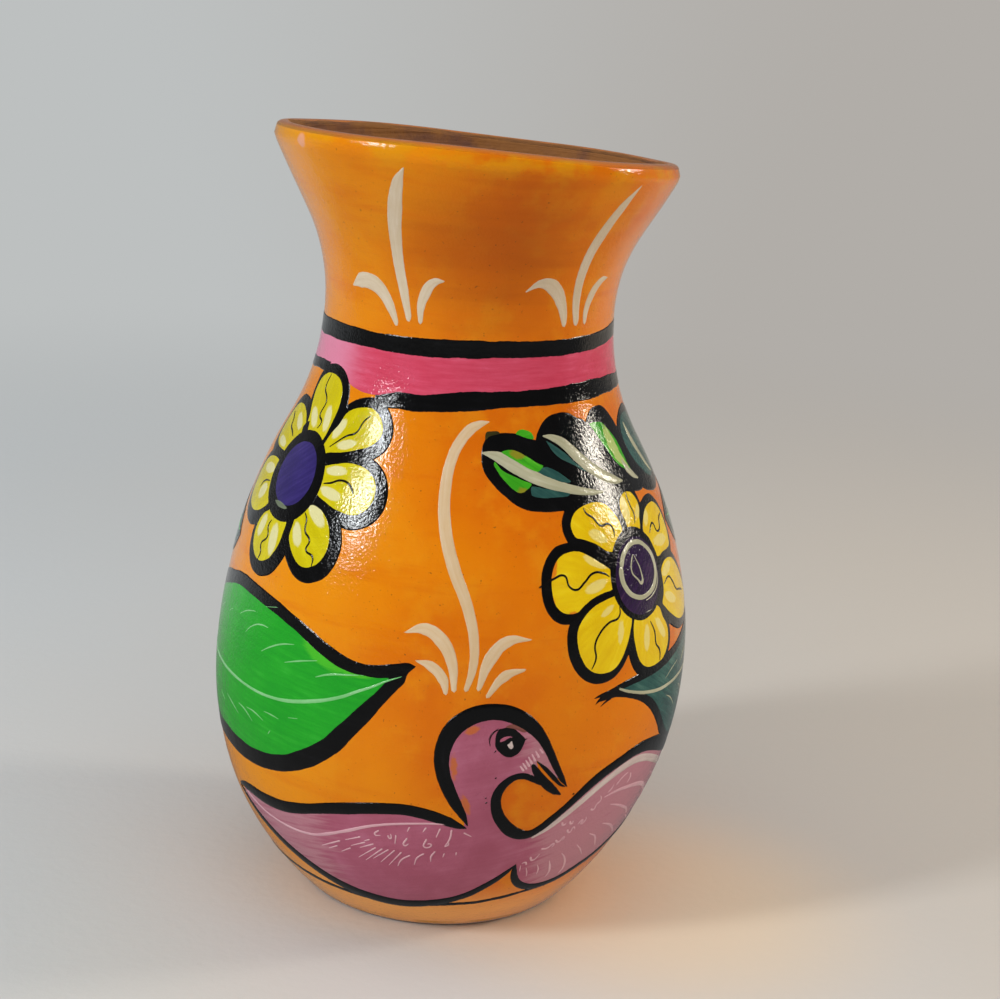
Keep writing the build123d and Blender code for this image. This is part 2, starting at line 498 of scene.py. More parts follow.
class Section:     # rows of points round one length of the wall, from outside over the top to inside
    def __init__(self):
        self.turns = np.arange(pot["columns"]) / pot["columns"] * 2 * pi
        self.rows = []
        self.normals = []
        self.marks = []       # how far inside, and how deep in the pot
        self.flat = set()     # the joint faces after these rows are flat

    def row(self, points, normals, inside, depth):
        self.rows.append(points)
        self.normals.append(normals)
        self.marks.append([np.broadcast_to(np.asarray(v, float), self.turns.shape) for v in (inside, depth)])

    def wall(self, low, high, inside=False):
        low = np.broadcast_to(np.asarray(low, float), self.turns.shape)
        high = np.broadcast_to(np.asarray(high, float), self.turns.shape)
        count = max(2, int(np.ceil(np.abs(high - low).max() / pot["rowHeight"])) + 1)
        for t in np.linspace(0, 1, count):
            height = low + (high - low) * t
            depth = np.clip((lipHeight(self.turns, inside) - height) / 60, 0, 1)
            points = skin(self.turns, height, inside)
            self.row(points, skinNormal(self.turns, height, inside), float(inside), depth)

    def joint(self):
        self.flat.add(len(self.rows) - 1)

    def build(self, name, node, closed=True, startPole=None, endPole=None):
        columns = pot["columns"]
        points = np.concatenate(self.rows)
        normals = np.concatenate(self.normals)
        marks = np.concatenate([np.stack(m, -1) for m in self.marks])
        faces, kinds = [], []
        last = len(self.rows)
        for i in range(last if closed else last - 1):
            for j in range(columns):
                k = (j + 1) % columns
                low, high = i * columns, ((i + 1) % last) * columns
                faces.append((low + j, low + k, high + k, high + j))
                kinds.append(i in self.flat)
        for pole, row, upper in ((startPole, 0, False), (endPole, last - 1, True)):
            if pole is not None:
                points = np.vstack([points, [pole]])
                normals = np.vstack([normals, [(0, 0, 1 if upper else -1)]])
                marks = np.vstack([marks, [(1, 1 if upper else 0)]])
                for j in range(columns):
                    k = (j + 1) % columns
                    edge = (row * columns + j, row * columns + k)
                    faces.append(edge + (len(points) - 1,) if upper else edge[::-1] + (len(points) - 1,))
                    kinds.append(False)
        loops = []
        for face, isFlat in zip(faces, kinds):
            if isFlat:
                a, b, c = (points[face[n]] for n in (0, 1, 2))
                flat = np.cross(b - a, c - a)
                loops += [flat / np.linalg.norm(flat)] * len(face)
            else:
                loops += [normals[n] for n in face]
        mesh = plainMesh(points, faces, marks={"inside": marks[:, 0], "depth": marks[:, 1]})
        mesh.normals_split_custom_set(np.array(loops))
        return addPiece(name, mesh, "ground", node)


def lipHeight(turns, inside=False):     # where the wall of each column reaches the slanted mouth
    height = np.full(turns.shape, mouth[0])
    sag = 0.22 * np.sin(2 * turns + 0.7) + 0.15 * np.sin(5 * turns + 2.0)
    for _ in range(6):
        points = skin(turns, height, inside) / mm
        height = mouth[0] + mouth[1] * points[..., 0] + mouth[2] * points[..., 1] + sag
    return height


def floorRows(section, top):
    heights = top - (top - floorHeight) * np.linspace(0, 1, pot["floorRows"])[1:] ** 0.8
    up = np.array([0.0, 0.0, 1.0])
    for height in heights[:-1]:
        lifted = max(height, pot["floorLow"])
        section.row(skin(section.turns, lifted, True), skinNormal(section.turns, lifted + 0.8, True), 1, 1)
    rim = skin(section.turns, pot["floorLow"], True)
    for share in (0.97, 0.6, 0.25):
        points = rim * np.array([share, share, 1])
        points[:, 2] = floorHeight * mm
        section.row(points, np.broadcast_to(up, points.shape), 1, 1)


def buildClay():
    boxes = [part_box(node) for node in shape["clayNodes"]]
    outerJoints = [low.z / mm for low, high in boxes[1:]]
    innerJoints = [high.z / mm for low, high in boxes[:-1]]
    names = ["clayFoot", "clayLowerBowl", "clayUpperBowl", "clayNeck", "clayRim"]
    down = np.array([0.0, 0.0, -1.0])

    base = Section()
    for radius in pot["footRows"]:
        points = np.stack([radius * np.sin(base.turns) + pot["footMiddle"], -radius * np.cos(base.turns),
                           0 * base.turns], -1) * mm
        base.row(points, np.broadcast_to(down, points.shape), 1, 0)
    for height in (0.1, 0.3, 0.6, 1.0, 1.6, 2.4):
        tilt = skinNormal(base.turns, max(height, 0.9))
        base.row(skin(base.turns, height), tilt, 0.75 if height < 0.5 else 0.0, 0)
    base.wall(3.2, outerJoints[0])
    base.joint()
    base.row(skin(base.turns, innerJoints[0], True), skinNormal(base.turns, innerJoints[0], True), 1, 1)
    floorRows(base, innerJoints[0])
    base.build(names[0], "base_disc", False, (pot["footMiddle"] * mm, 0, 0), (0, 0, floorHeight * mm))

    for k in (1, 2, 3):
        ring = Section()
        ring.wall(outerJoints[k - 1], outerJoints[k])
        ring.joint()
        ring.wall(innerJoints[k], innerJoints[k - 1], True)
        ring.joint()
        ring.build(names[k], shape["clayNodes"][k])

    rim = Section()
    turns = rim.turns
    outerTop = lipHeight(turns) - shape["lipDrop"]
    innerTop = lipHeight(turns, True) - shape["lipDrop"]
    rim.wall(outerJoints[3], outerTop)
    first, last = skin(turns, outerTop), skin(turns, innerTop, True)
    middle, half = (first + last) / 2, (first - last) / 2
    up = np.array([-mouth[1], -mouth[2], 1.0])
    up /= np.linalg.norm(up)
    for angle in np.linspace(0, pi, pot["lipRows"] + 2)[1:-1]:
        rise = up * shape["lipDrop"] * mm
        points = middle + half * cos(angle) + rise * sin(angle)
        normals = half * cos(angle) * shape["lipDrop"] * mm / np.linalg.norm(half, axis=1, keepdims=True) ** 2
        normals = normals * np.linalg.norm(half, axis=1, keepdims=True) + up * sin(angle)
        normals /= np.linalg.norm(normals, axis=1, keepdims=True)
        rim.row(points, normals, angle / pi * 0.95, 0)
    rim.wall(innerTop, innerJoints[3], True)
    rim.joint()
    rim.build(names[4], "rim_coil")


buildClay()
print("clay built")


# Films of paint: flat outlines on the map, with a soft raised edge, laid on the wall

def smoothPath(points, step=0.8):     # a closed curve, in which a point given twice is a corner
    points = np.array(points, float)
    corners = [i for i in range(len(points)) if np.allclose(points[i], points[i - 1])]
    if not corners:
        return bentThrough(points, True, step)[:-1]
    runs = np.split(np.roll(points, -corners[0], 0), [i - corners[0] for i in corners[1:]])
    return np.concatenate([bentThrough(run, False, step)[:-1] for run in runs])


def smoothPaths(outlines, step=0.8):
    return [smoothPath(outline, step) for outline in outlines]


def bentThrough(points, closed, step):     # a curve through given points
    points = np.array(points, float)
    if closed:
        points = np.vstack([points[-1], points, points[0], points[1]])
    else:
        points = np.vstack([2 * points[0] - points[1], points, 2 * points[-1] - points[-2]])
    path = []
    for before, start, end, after in zip(points, points[1:], points[2:], points[3:]):
        knots = np.cumsum([0] + [max(np.linalg.norm((q - p)[:2]), 1e-6) ** 0.5
                                 for p, q in ((before, start), (start, end), (end, after))])
        count = max(1, int(np.ceil(np.linalg.norm((end - start)[:2]) / step)))
        for t in knots[1] + (knots[2] - knots[1]) * np.arange(count) / count:
            near = [(q * (t - k) + p * (m - t)) / (m - k) for p, q, k, m in
                    ((before, start, knots[0], knots[1]), (start, end, knots[1], knots[2]),
                     (end, after, knots[2], knots[3]))]
            mid = [(near[1] * (t - knots[0]) + near[0] * (knots[2] - t)) / (knots[2] - knots[0]),
                   (near[2] * (t - knots[1]) + near[1] * (knots[3] - t)) / (knots[3] - knots[1])]
            path.append((mid[1] * (t - knots[1]) + mid[0] * (knots[2] - t)) / (knots[2] - knots[1]))
    path.append(points[-2])
    return np.array(path)


def handPainted(outline, amount, seed):     # the edge of a brush stroke is never quite even
    moved = []
    for a, s in outline:
        shift = noise.noise_vector(Vector((a * 0.22, s * 0.22, seed))) * amount
        fine = noise.noise_vector(Vector((a * 0.9, s * 0.9, seed + 5))) * amount * 0.45
        moved.append((a + shift.x + fine.x, s + shift.y + fine.y))
    return np.array(moved)


def grown(outline, even, more, towards):     # a border round a filled shape, thicker on one side
    after, before = np.roll(outline, -1, 0), np.roll(outline, 1, 0)
    way = after - before
    way /= np.maximum(np.linalg.norm(way, axis=1, keepdims=True), 1e-9)
    area = 0.5 * np.sum(outline[:, 0] * after[:, 1] - after[:, 0] * outline[:, 1])
    out = np.stack([way[:, 1], -way[:, 0]], 1) * (1 if area > 0 else -1)
    facing = out @ np.array([cos(radians(towards)), sin(radians(towards))])
    return outline + out * (even + more * facing)[:, None]


def insideOf(points, loops):
    inside = np.zeros(len(points), bool)
    for loop in loops:
        x1, y1 = loop[:, 0], loop[:, 1]
        x2, y2 = np.roll(x1, -1), np.roll(y1, -1)
        px, py = points[:, :1], points[:, 1:]
        spans = (y1 > py) != (y2 > py)
        crossing = px < (x2 - x1) * (py - y1) / np.where(y2 == y1, 1e-12, y2 - y1) + x1
        inside ^= (np.sum(spans & crossing, axis=1) % 2).astype(bool)
    return inside


def toEdge(points, loops, stretch):     # distance to the nearest edge, and the way to it
    starts = np.concatenate(loops)
    ends = np.concatenate([np.roll(loop, -1, 0) for loop in loops])
    scale = np.array([stretch, 1.0])
    starts, ways, points = starts * scale, (ends - starts) * scale, points * scale
    best = np.full(len(points), 1e9)
    towards = np.zeros((len(points), 2))
    lengths = np.maximum(np.sum(ways * ways, 1), 1e-12)
    for first in range(0, len(points), 1500):
        part = points[first:first + 1500]
        offset = part[:, None] - starts[None]
        t = np.clip(np.sum(offset * ways[None], 2) / lengths, 0, 1)
        gap = starts[None] + ways[None] * t[..., None] - part[:, None]
        away = np.linalg.norm(gap, axis=2)
        pick = np.argmin(away, 1)
        rows = np.arange(len(part))
        best[first:first + 1500] = away[rows, pick]
        towards[first:first + 1500] = gap[rows, pick]
    return best, towards / np.maximum(best, 1e-9)[:, None]


def merged(outlines):     # outer edges of overlapping shapes
    points, faces = [], []
    for outline in outlines:
        faces.append(list(range(len(points), len(points) + len(outline))))
        points += [Vector(p) for p in outline]
    corners, _, triangles, *_ = delaunay_2d_cdt(points, [], faces, 1, 1e-4)
    edges = {}
    for triangle in triangles:
        for p, q in zip(triangle, triangle[1:] + triangle[:1]):
            if (q, p) in edges:
                del edges[(q, p)]
            else:
                edges[(p, q)] = True
    following = {}
    for p, q in edges:
        following.setdefault(p, []).append(q)
    loops = []
    while following:
        start = next(iter(following))
        loop, at = [], start
        while at in following:
            loop.append(at)
            onward = following[at].pop()
            if not following[at]:
                del following[at]
            at = onward
            if at == start:
                break
        loop = np.array([corners[i][:] for i in loop])
        kept = [loop[0]]
        for p in loop[1:]:
            if np.linalg.norm(p - kept[-1]) > 0.2:
                kept.append(p)
        area = 0.5 * np.sum(loop[:, 0] * np.roll(loop[:, 1], -1) - np.roll(loop[:, 0], -1) * loop[:, 1])
        if area > 2:
            loops.append(np.array(kept))
    return loops


film = {
    "edge": 0.5,        # width of the rounded edge
    "sunk": 0.05,       # its foot lies this deep in the clay
    "back": 0.09,       # and its back this deep
    "spacing": 1.7,
    "row": 0.866,       # of the spacing: the points lie in triangles
    "ragged": 0.16,
    "uneven": 0.02,
}


def roundedEdge(thickness, share, edge):     # height over the clay, and slope, at this share of the edge
    lift = thickness * share * share * (3 - 2 * share) - film["sunk"]
    return lift, thickness * 6 * share * (1 - share) / edge


def addFilm(name, outlines, coat, lift, brush, marks=None, spacing=film["spacing"], joined=False, seed=1.0):
    loops = merged(outlines) if joined else list(outlines)
    loops = [handPainted(loop, film["ragged"], seed + n) for n, loop in enumerate(loops)]
    every = np.concatenate(loops)
    stretch = float(mapStretch(every[:, 1].mean()))
    points = [tuple(p) for p in every]
    faces, first = [], 0
    for loop in loops:
        faces.append(list(range(first, first + len(loop))))
        first += len(loop)
    scale = np.array([stretch, 1.0])
    for inset in (film["edge"] * 0.5, film["edge"] * 1.1):
        for loop in loops:
            way = (np.roll(loop, -1, 0) - np.roll(loop, 1, 0)) * scale
            way /= np.maximum(np.linalg.norm(way, axis=1, keepdims=True), 1e-9)
            x, y = loop[:, 0], loop[:, 1]
            sign = 1 if np.sum(x * np.roll(y, -1) - np.roll(x, -1) * y) > 0 else -1
            inward = np.stack([-way[:, 1], way[:, 0]], 1) * sign
            ring = loop + inward * inset / scale
            away, _ = toEdge(ring, loops, stretch)
            good = insideOf(ring, loops) & (away > inset * 0.93)
            points += [tuple(p) for p in ring[good]]
    low, high = every.min(0), every.max(0)
    across = np.arange(low[0], high[0], spacing / stretch)
    upward = np.arange(low[1], high[1], spacing * film["row"])
    grid = np.array([(a + (0.5 * spacing / stretch if n % 2 else 0), s) for n, s in enumerate(upward)
                     for a in across])
    if len(grid):
        grid = grid[insideOf(grid, loops)]
    if len(grid):
        away, _ = toEdge(grid, loops, stretch)
        points += [tuple(p) for p in grid[away > film["edge"] * 1.1 + spacing * 0.45]]
    corners, _, triangles, *_ = delaunay_2d_cdt([Vector(p) for p in points], [], faces, 1, 1e-4)
    flat = np.array([corner[:] for corner in corners])
    triangles = [t for t in triangles if len(set(t)) == 3]
    used = sorted({i for t in triangles for i in t})
    order = {old: new for new, old in enumerate(used)}
    flat = flat[used]
    triangles = [tuple(order[i] for i in t) for t in triangles]
    away, towards = toEdge(flat, loops, stretch)
    share = np.clip(away / film["edge"], 0, 1)
    uneven = np.array([noise.noise(Vector((a * 0.13, s * 0.13, seed))) for a, s in flat]) * film["uneven"]
    lifts, slope = roundedEdge(lift + uneven + film["sunk"], share, film["edge"])
    turn, height = flat[:, 0] / shape["mapRadius"], mapHeight(flat[:, 1])
    surface, normal = skin(turn, height), skinNormal(turn, height)
    top = surface + normal * lifts[:, None] * mm
    sideways = np.stack([np.cos(turn), np.sin(turn), 0 * turn], -1)
    upwards = np.cross(normal, sideways)
    tilted = normal + (sideways * towards[:, :1] + upwards * towards[:, 1:]) * slope[:, None]
    tilted /= np.linalg.norm(tilted, axis=1, keepdims=True)
    onEdge = away < 1e-3
    under = {}
    below, belowNormals, belowFlat = [], [], []
    for i in range(len(flat)):
        if onEdge[i]:
            under[i] = i
        else:
            under[i] = len(flat) + len(below)
            below.append(surface[i] - normal[i] * film["back"] * mm)
            belowNormals.append(-normal[i])
            belowFlat.append(flat[i])
    if below:
        top = np.vstack([top, below])
        tilted = np.vstack([tilted, belowNormals])
        flat = np.vstack([flat, belowFlat])
    faces = triangles + [tuple(under[i] for i in t[::-1]) for t in triangles]
    named = {key: np.array([rule(a, s) for a, s in flat]) for key, rule in (marks or {}).items()}
    uv = np.array([brush(a, s) for a, s in flat])
    return addPiece(name, plainMesh(top, faces, tilted, uv, named), coat)


def patches(spots):     # soft oval dabs: place, length, width, lean in degrees
    def strength(a, s):
        best = 0.0
        for da, ds, length, width, lean in spots:
            x, y = a - da, s - ds
            c, w = cos(radians(lean)), sin(radians(lean))
            u, v = (x * c + y * w) / (length / 2), (y * c - x * w) / (width / 2)
            best = max(best, 1.35 - (u * u + v * v) ** 0.5 * 0.85)
        return min(max(best, 0.0), 1.0)
    return strength


def straight(lean):     # brush strokes that all run one way
    c, w = cos(radians(lean)), sin(radians(lean))
    return lambda a, s: (a * c + s * w, s * c - a * w)


def spreading(centre):     # brush strokes that run out from the middle of a flower
    def brush(a, s):
        x, y = a - centre[0], s - centre[1]
        return ((x * x + y * y) ** 0.5, np.arctan2(y, x) * 14)
    return brush


def oval(a, s, across, upward, lean=0, count=48):
    turn = np.arange(count) / count * 2 * pi
    x, y = across * np.cos(turn), upward * np.sin(turn)
    c, w = cos(radians(lean)), sin(radians(lean))
    return np.stack([a + x * c - y * w, s + x * w + y * c], -1)


# Bands of paint round the neck and the foot

bands = {
    "period": 2 * pi * shape["mapRadius"],
    "step": 1.1,
    "edgeRows": (0.0, 0.33, 0.66, 1.0),     # shares of the rounded edge
    "innerRows": (0.2, 0.4, 0.6, 0.8),      # shares of what lies between the edges
    "back": 0.12,
    "least": 0.12,      # width where a band tapers off
    "full": 1.2,        # a band narrower than this is thinner too
    "waver": [(9, 0.3), (60, 0.16)],        # slow and fast, and how far, of the hand that drew the edges
    "upper": {
        "a": [-200, -150, -100, -80, -60, -40, -20, 0, 20, 40, 60, 80, 95, 130, 180],
        "low": [187.6, 186.6, 185.6, 186.4, 186.8, 187.0, 187.2, 187.7, 188.2, 188.4, 188.6, 189.2, 189.8,
                189.4, 188.4],
        "high": [192.9, 192.1, 191.4, 192.1, 192.2, 192.3, 192.8, 193.3, 193.5, 193.4, 193.7, 194.2, 195.0,
                 194.5, 193.5],
    },
    "lower": {
        "from": -41.5, "to": 376.0,
        "a": [-160, -110, -98, -86, -62, -41.5, -36, -31, -20, 0, 20, 40, 60, 80, 100, 130, 180],
        "low": [173.2, 174.4, 175.2, 176.1, 175.6, 171.4, 171.5, 171.6, 171.9, 173.1, 174.5, 174.9, 174.9,
                175.4, 174.9, 173.8, 172.8],
        "high": [178.1, 178.2, 179.0, 179.8, 179.3, 174.9, 176.1, 176.9, 177.2, 179.1, 179.6, 180.2, 180.9,
                 180.8, 179.7, 178.9, 178.1],
    },
    "pinkLow": {
        "a": [-160, -110, -90, -62, -54, -40, -30, 0, 60, 130, 180],
        "s": [175.8, 176.4, 177.6, 176.6, 174.9, 174.6, 174.8, 176.0, 178.0, 176.4, 175.6],
    },
    "pinkUnder": 1.2,       # the pink runs this far up under the upper ring
    "sheenFrom": (-36, -82),        # painted sheen: the pink is paler on the left
    "sheenTo": (-130, -104),
    "foot": {
        "from": 96.0, "to": 503.0,
        "a": [96, 110, 130, 180, 226, 280, 330, 352, 372, 388, 402, 422, 442, 452, 462, 472, 482, 492, 503],
        "low": [26.0, 21.6, 18.5, 16.2, 15.6, 16.2, 17.2, 17.4, 17.0, 16.0, 15.0, 14.2, 14.2, 14.9, 15.8,
                16.6, 18.2, 19.8, 21.2],
        "high": [26.2, 23.4, 20.4, 18.2, 17.6, 18.2, 19.4, 19.6, 19.2, 18.4, 17.4, 16.4, 16.4, 17.1, 18.0,
                 18.7, 20.3, 21.7, 22.4],
    },
}


def addBand(name, node, coat, lowEdge, highEdge, lift, start=None, end=None, seed=1.0, pale=None):
    closed = start is None
    start, end = (-bands["period"] / 2, bands["period"] / 2) if closed else (start, end)
    count = int((end - start) / bands["step"])
    around = start + (end - start) * np.arange(count + (0 if closed else 1)) / count
    turn = around / shape["mapRadius"]

    def waver(extra):
        return sum(np.array([noise.noise(Vector((np.sin(t) * grain, np.cos(t) * grain, seed + extra)))
                             for t in turn]) * size for grain, size in bands["waver"])

    low, high = lowEdge(around) + waver(0), highEdge(around) + waver(3)
    high = np.maximum(high, low + bands["least"])
    width = high - low
    edge = np.minimum(film["edge"], width * 0.45)
    offsets = [edge * share for share in bands["edgeRows"]]
    offsets += [edge + (width - 2 * edge) * share for share in bands["innerRows"]]
    offsets += [width - edge * share for share in reversed(bands["edgeRows"])]
    count = len(around)
    points, normals, uv, faces = [], [], [], []
    for offset in offsets:
        share = np.clip(np.minimum(offset, width - offset) / edge, 0, 1)
        thickness = np.minimum(lift, lift * width / bands["full"]) + film["sunk"]
        lifts, slope = roundedEdge(thickness, share, edge)
        side = np.where(offset < width / 2, -1.0, 1.0)
        height = mapHeight(low + offset)
        normal = skinNormal(turn, height)
        points.append(skin(turn, height) + normal * lifts[:, None] * mm)
        sideways = np.stack([np.cos(turn), np.sin(turn), 0 * turn], -1)
        tilted = normal + np.cross(normal, sideways) * (slope * side)[:, None]
        normals.append(tilted / np.linalg.norm(tilted, axis=1, keepdims=True))
        uv.append(np.stack([around, low + offset], -1))
    for share in (0.66, 0.33):     # the back, inside the clay
        height = mapHeight(low + width * share)
        normal = skinNormal(turn, height)
        points.append(skin(turn, height) - normal * bands["back"] * mm)
        normals.append(-normal)
        uv.append(np.stack([around, low + width * share], -1))
    rows = len(points)
    for i in range(rows):
        for j in range(count if closed else count - 1):
            k = (j + 1) % count
            up = (i + 1) % rows
            faces.append((i * count + j, i * count + k, up * count + k, up * count + j))
    if not closed:
        faces.append([i * count for i in range(rows)])
        faces.append([i * count + count - 1 for i in reversed(range(rows))])
    marks = {"pale": np.tile(pale(around), rows)} if pale else None
    mesh = plainMesh(np.concatenate(points), faces, np.concatenate(normals), np.concatenate(uv), marks)
    return addPiece(name, mesh, coat, node)


def keyed(table, key):     # the line through one row of a table
    return lambda at: easedThrough(table["a"], table[key], at)


def ringKeys(table, key):     # the same for a line that closes round the pot
    period = bands["period"]
    return lambda at: easedThrough(table["a"], table[key], (at + period / 2) % period - period / 2, period)


def addOpenBand(name, node, table, edges, lift, seed):
    low, high = edges(table, "low"), edges(table, "high")
    addBand(name, node, "black", low, high, lift, table["from"], table["to"], seed)


# the pink band's pale left side is a painted sheen
addBand("pinkBand", "pink_band", "pink", ringKeys(bands["pinkLow"], "s"),
        lambda at: ringKeys(bands["upper"], "low")(at) + bands["pinkUnder"], 0.08, seed=2.0,
        pale=lambda at: smoothStep(*bands["sheenFrom"], at) * smoothStep(*bands["sheenTo"], at))
addBand("upperRing", "upper_ring", "black", ringKeys(bands["upper"], "low"), ringKeys(bands["upper"], "high"),
        0.13, seed=4.0)
addOpenBand("lowerRing", "lower_ring", bands["lower"], ringKeys, 0.13, 6.0)
addOpenBand("footLine", "foot_line", bands["foot"], keyed, 0.12, 8.0)
print("bands laid")


# The flowers

leftFlower = {
    "heart": (-69.6, 145.6, 16.7, 14.5, 0),
    "violet": (-69.7, 146.2, 12.1, 10.3, 0),
    # a painted glint on the foot of the heart
    "crescent": [(-76, 136.4), (-73, 137.3), (-69.5, 137.2), (-65.8, 136.2), (-66.5, 135.3), (-70, 134.8),
                 (-73.5, 135.2)],
    "border": (3.3, 1.3, -25),
    "petals": [
        [(-83.5, 170.7), (-82, 174), (-78, 176.4), (-73, 177.4), (-68.5, 177.4), (-64, 176.2), (-61, 173.8),
         (-59.8, 170.5), (-60.2, 165), (-62.5, 157), (-70, 154), (-77, 158), (-79.8, 163), (-82.6, 167.2)],
        [(-59.8, 160.4), (-57, 164.1), (-55, 167.7), (-52, 169.4), (-48.9, 170.4), (-44.5, 171.1),
         (-41, 171.1), (-37.5, 169.9), (-34.6, 167.8), (-33.2, 165), (-34, 162.4), (-38.2, 159.4),
         (-42, 158.2), (-46.4, 156.9), (-52, 155.6), (-57, 154.5), (-62, 152)],
        [(-53.6, 152.3), (-49.5, 153.5), (-45.7, 154.4), (-41.4, 154.6), (-37, 154.2), (-33.6, 152.9),
         (-31, 150.7), (-29.8, 147.7), (-30.2, 144.6), (-31.8, 142.2), (-34.5, 140.4), (-38.2, 139.5),
         (-42, 139.8), (-45.7, 140.4), (-49.5, 141.3), (-53, 142.3), (-60, 145), (-60, 150)],
        [(-57, 139.6), (-53.9, 140.2), (-49.5, 139.4), (-45.7, 136.9), (-43.6, 134.1), (-42.7, 131),
         (-43.2, 127.9), (-44.8, 124.9), (-47.6, 122.7), (-50.7, 121.8), (-53.9, 122.2), (-57, 124),
         (-59.8, 126.6), (-61.4, 129.4), (-61.3, 132.2), (-61.5, 136), (-62, 140)],
        [(-77.7, 133), (-79.8, 131.8), (-81.6, 130), (-82.7, 127.2), (-82.5, 124.1), (-81, 121.1),
         (-78.2, 118.9), (-74.5, 118), (-71.4, 118.3), (-68.2, 119.8), (-66.1, 122.2), (-64.5, 125.4),
         (-63.9, 129.1), (-63.7, 132.5), (-66, 137), (-74, 137)],
        [(-86.4, 147.2), (-93.2, 146.8), (-97.6, 145.6), (-100.8, 143.3), (-102.4, 139.8), (-102.6, 136),
         (-101.5, 132.4), (-98.9, 130.2), (-94.5, 129), (-90.1, 129), (-85.7, 130.1), (-82, 131.9),
         (-79, 134.3), (-77, 141), (-80, 146)],
        [(-76.1, 158.8), (-78.9, 161), (-82, 162.9), (-85.7, 164.2), (-90.7, 164.8), (-95.1, 164.4),
         (-98.9, 163.1), (-101.6, 160.4), (-102.8, 157.2), (-102.4, 153.5), (-100.7, 151), (-97, 149.7),
         (-92, 149.3), (-86, 149.4), (-79, 150)],
    ],
    "pale": [(-74.5, 163.2, 9.5, 3.6, -32), (-64.8, 164.4, 8.5, 4.4, -68), (-55.4, 162.9, 7.5, 4.4, 52),
             (-48.9, 159, 9.5, 3, 14), (-48.9, 151, 9.5, 2.8, 6), (-48.2, 144.4, 10, 3, -8),
             (-51.8, 138, 11.5, 4.2, -30), (-57.3, 130.4, 7.5, 4, -60), (-78.2, 127.9, 7.5, 4, 75),
             (-68.7, 126.2, 9.5, 4.4, -82), (-91, 142.9, 11, 3.3, 8), (-88.2, 136, 7, 4.4, 30),
             (-85.4, 159.8, 9.5, 3.3, -22), (-92, 151.6, 10.5, 2.8, -3)],
    "veins": [
        [(-68.9, 160.4), (-67.8, 162.6), (-70.8, 164.4), (-70, 168.8), (-74.3, 172.6), (-72.5, 177)],
        [(-57, 156.9), (-50.4, 161.3), (-45.8, 163.2), (-43.9, 166.6), (-40.9, 168.8)],
        [(-52.9, 146.5), (-49.5, 147.3), (-45.8, 148.7), (-42, 148.5), (-39.5, 146.9), (-38.6, 145.7)],
        [(-56.7, 137.1), (-55, 135.4), (-54.2, 132.2), (-51.1, 129.8), (-51.7, 127.2), (-48.2, 125.7),
         (-47.9, 122.9)],
        [(-72.9, 131), (-73.8, 128.8), (-72.3, 126), (-75, 122.9), (-73.8, 120.7), (-74.5, 118.2)],
        [(-85.1, 140.1), (-90.8, 138.5), (-92.9, 136)],
        [(-83.9, 154.8), (-87.6, 156), (-91.4, 156.9), (-93.9, 159.1), (-98.2, 160.7)],
    ],
}

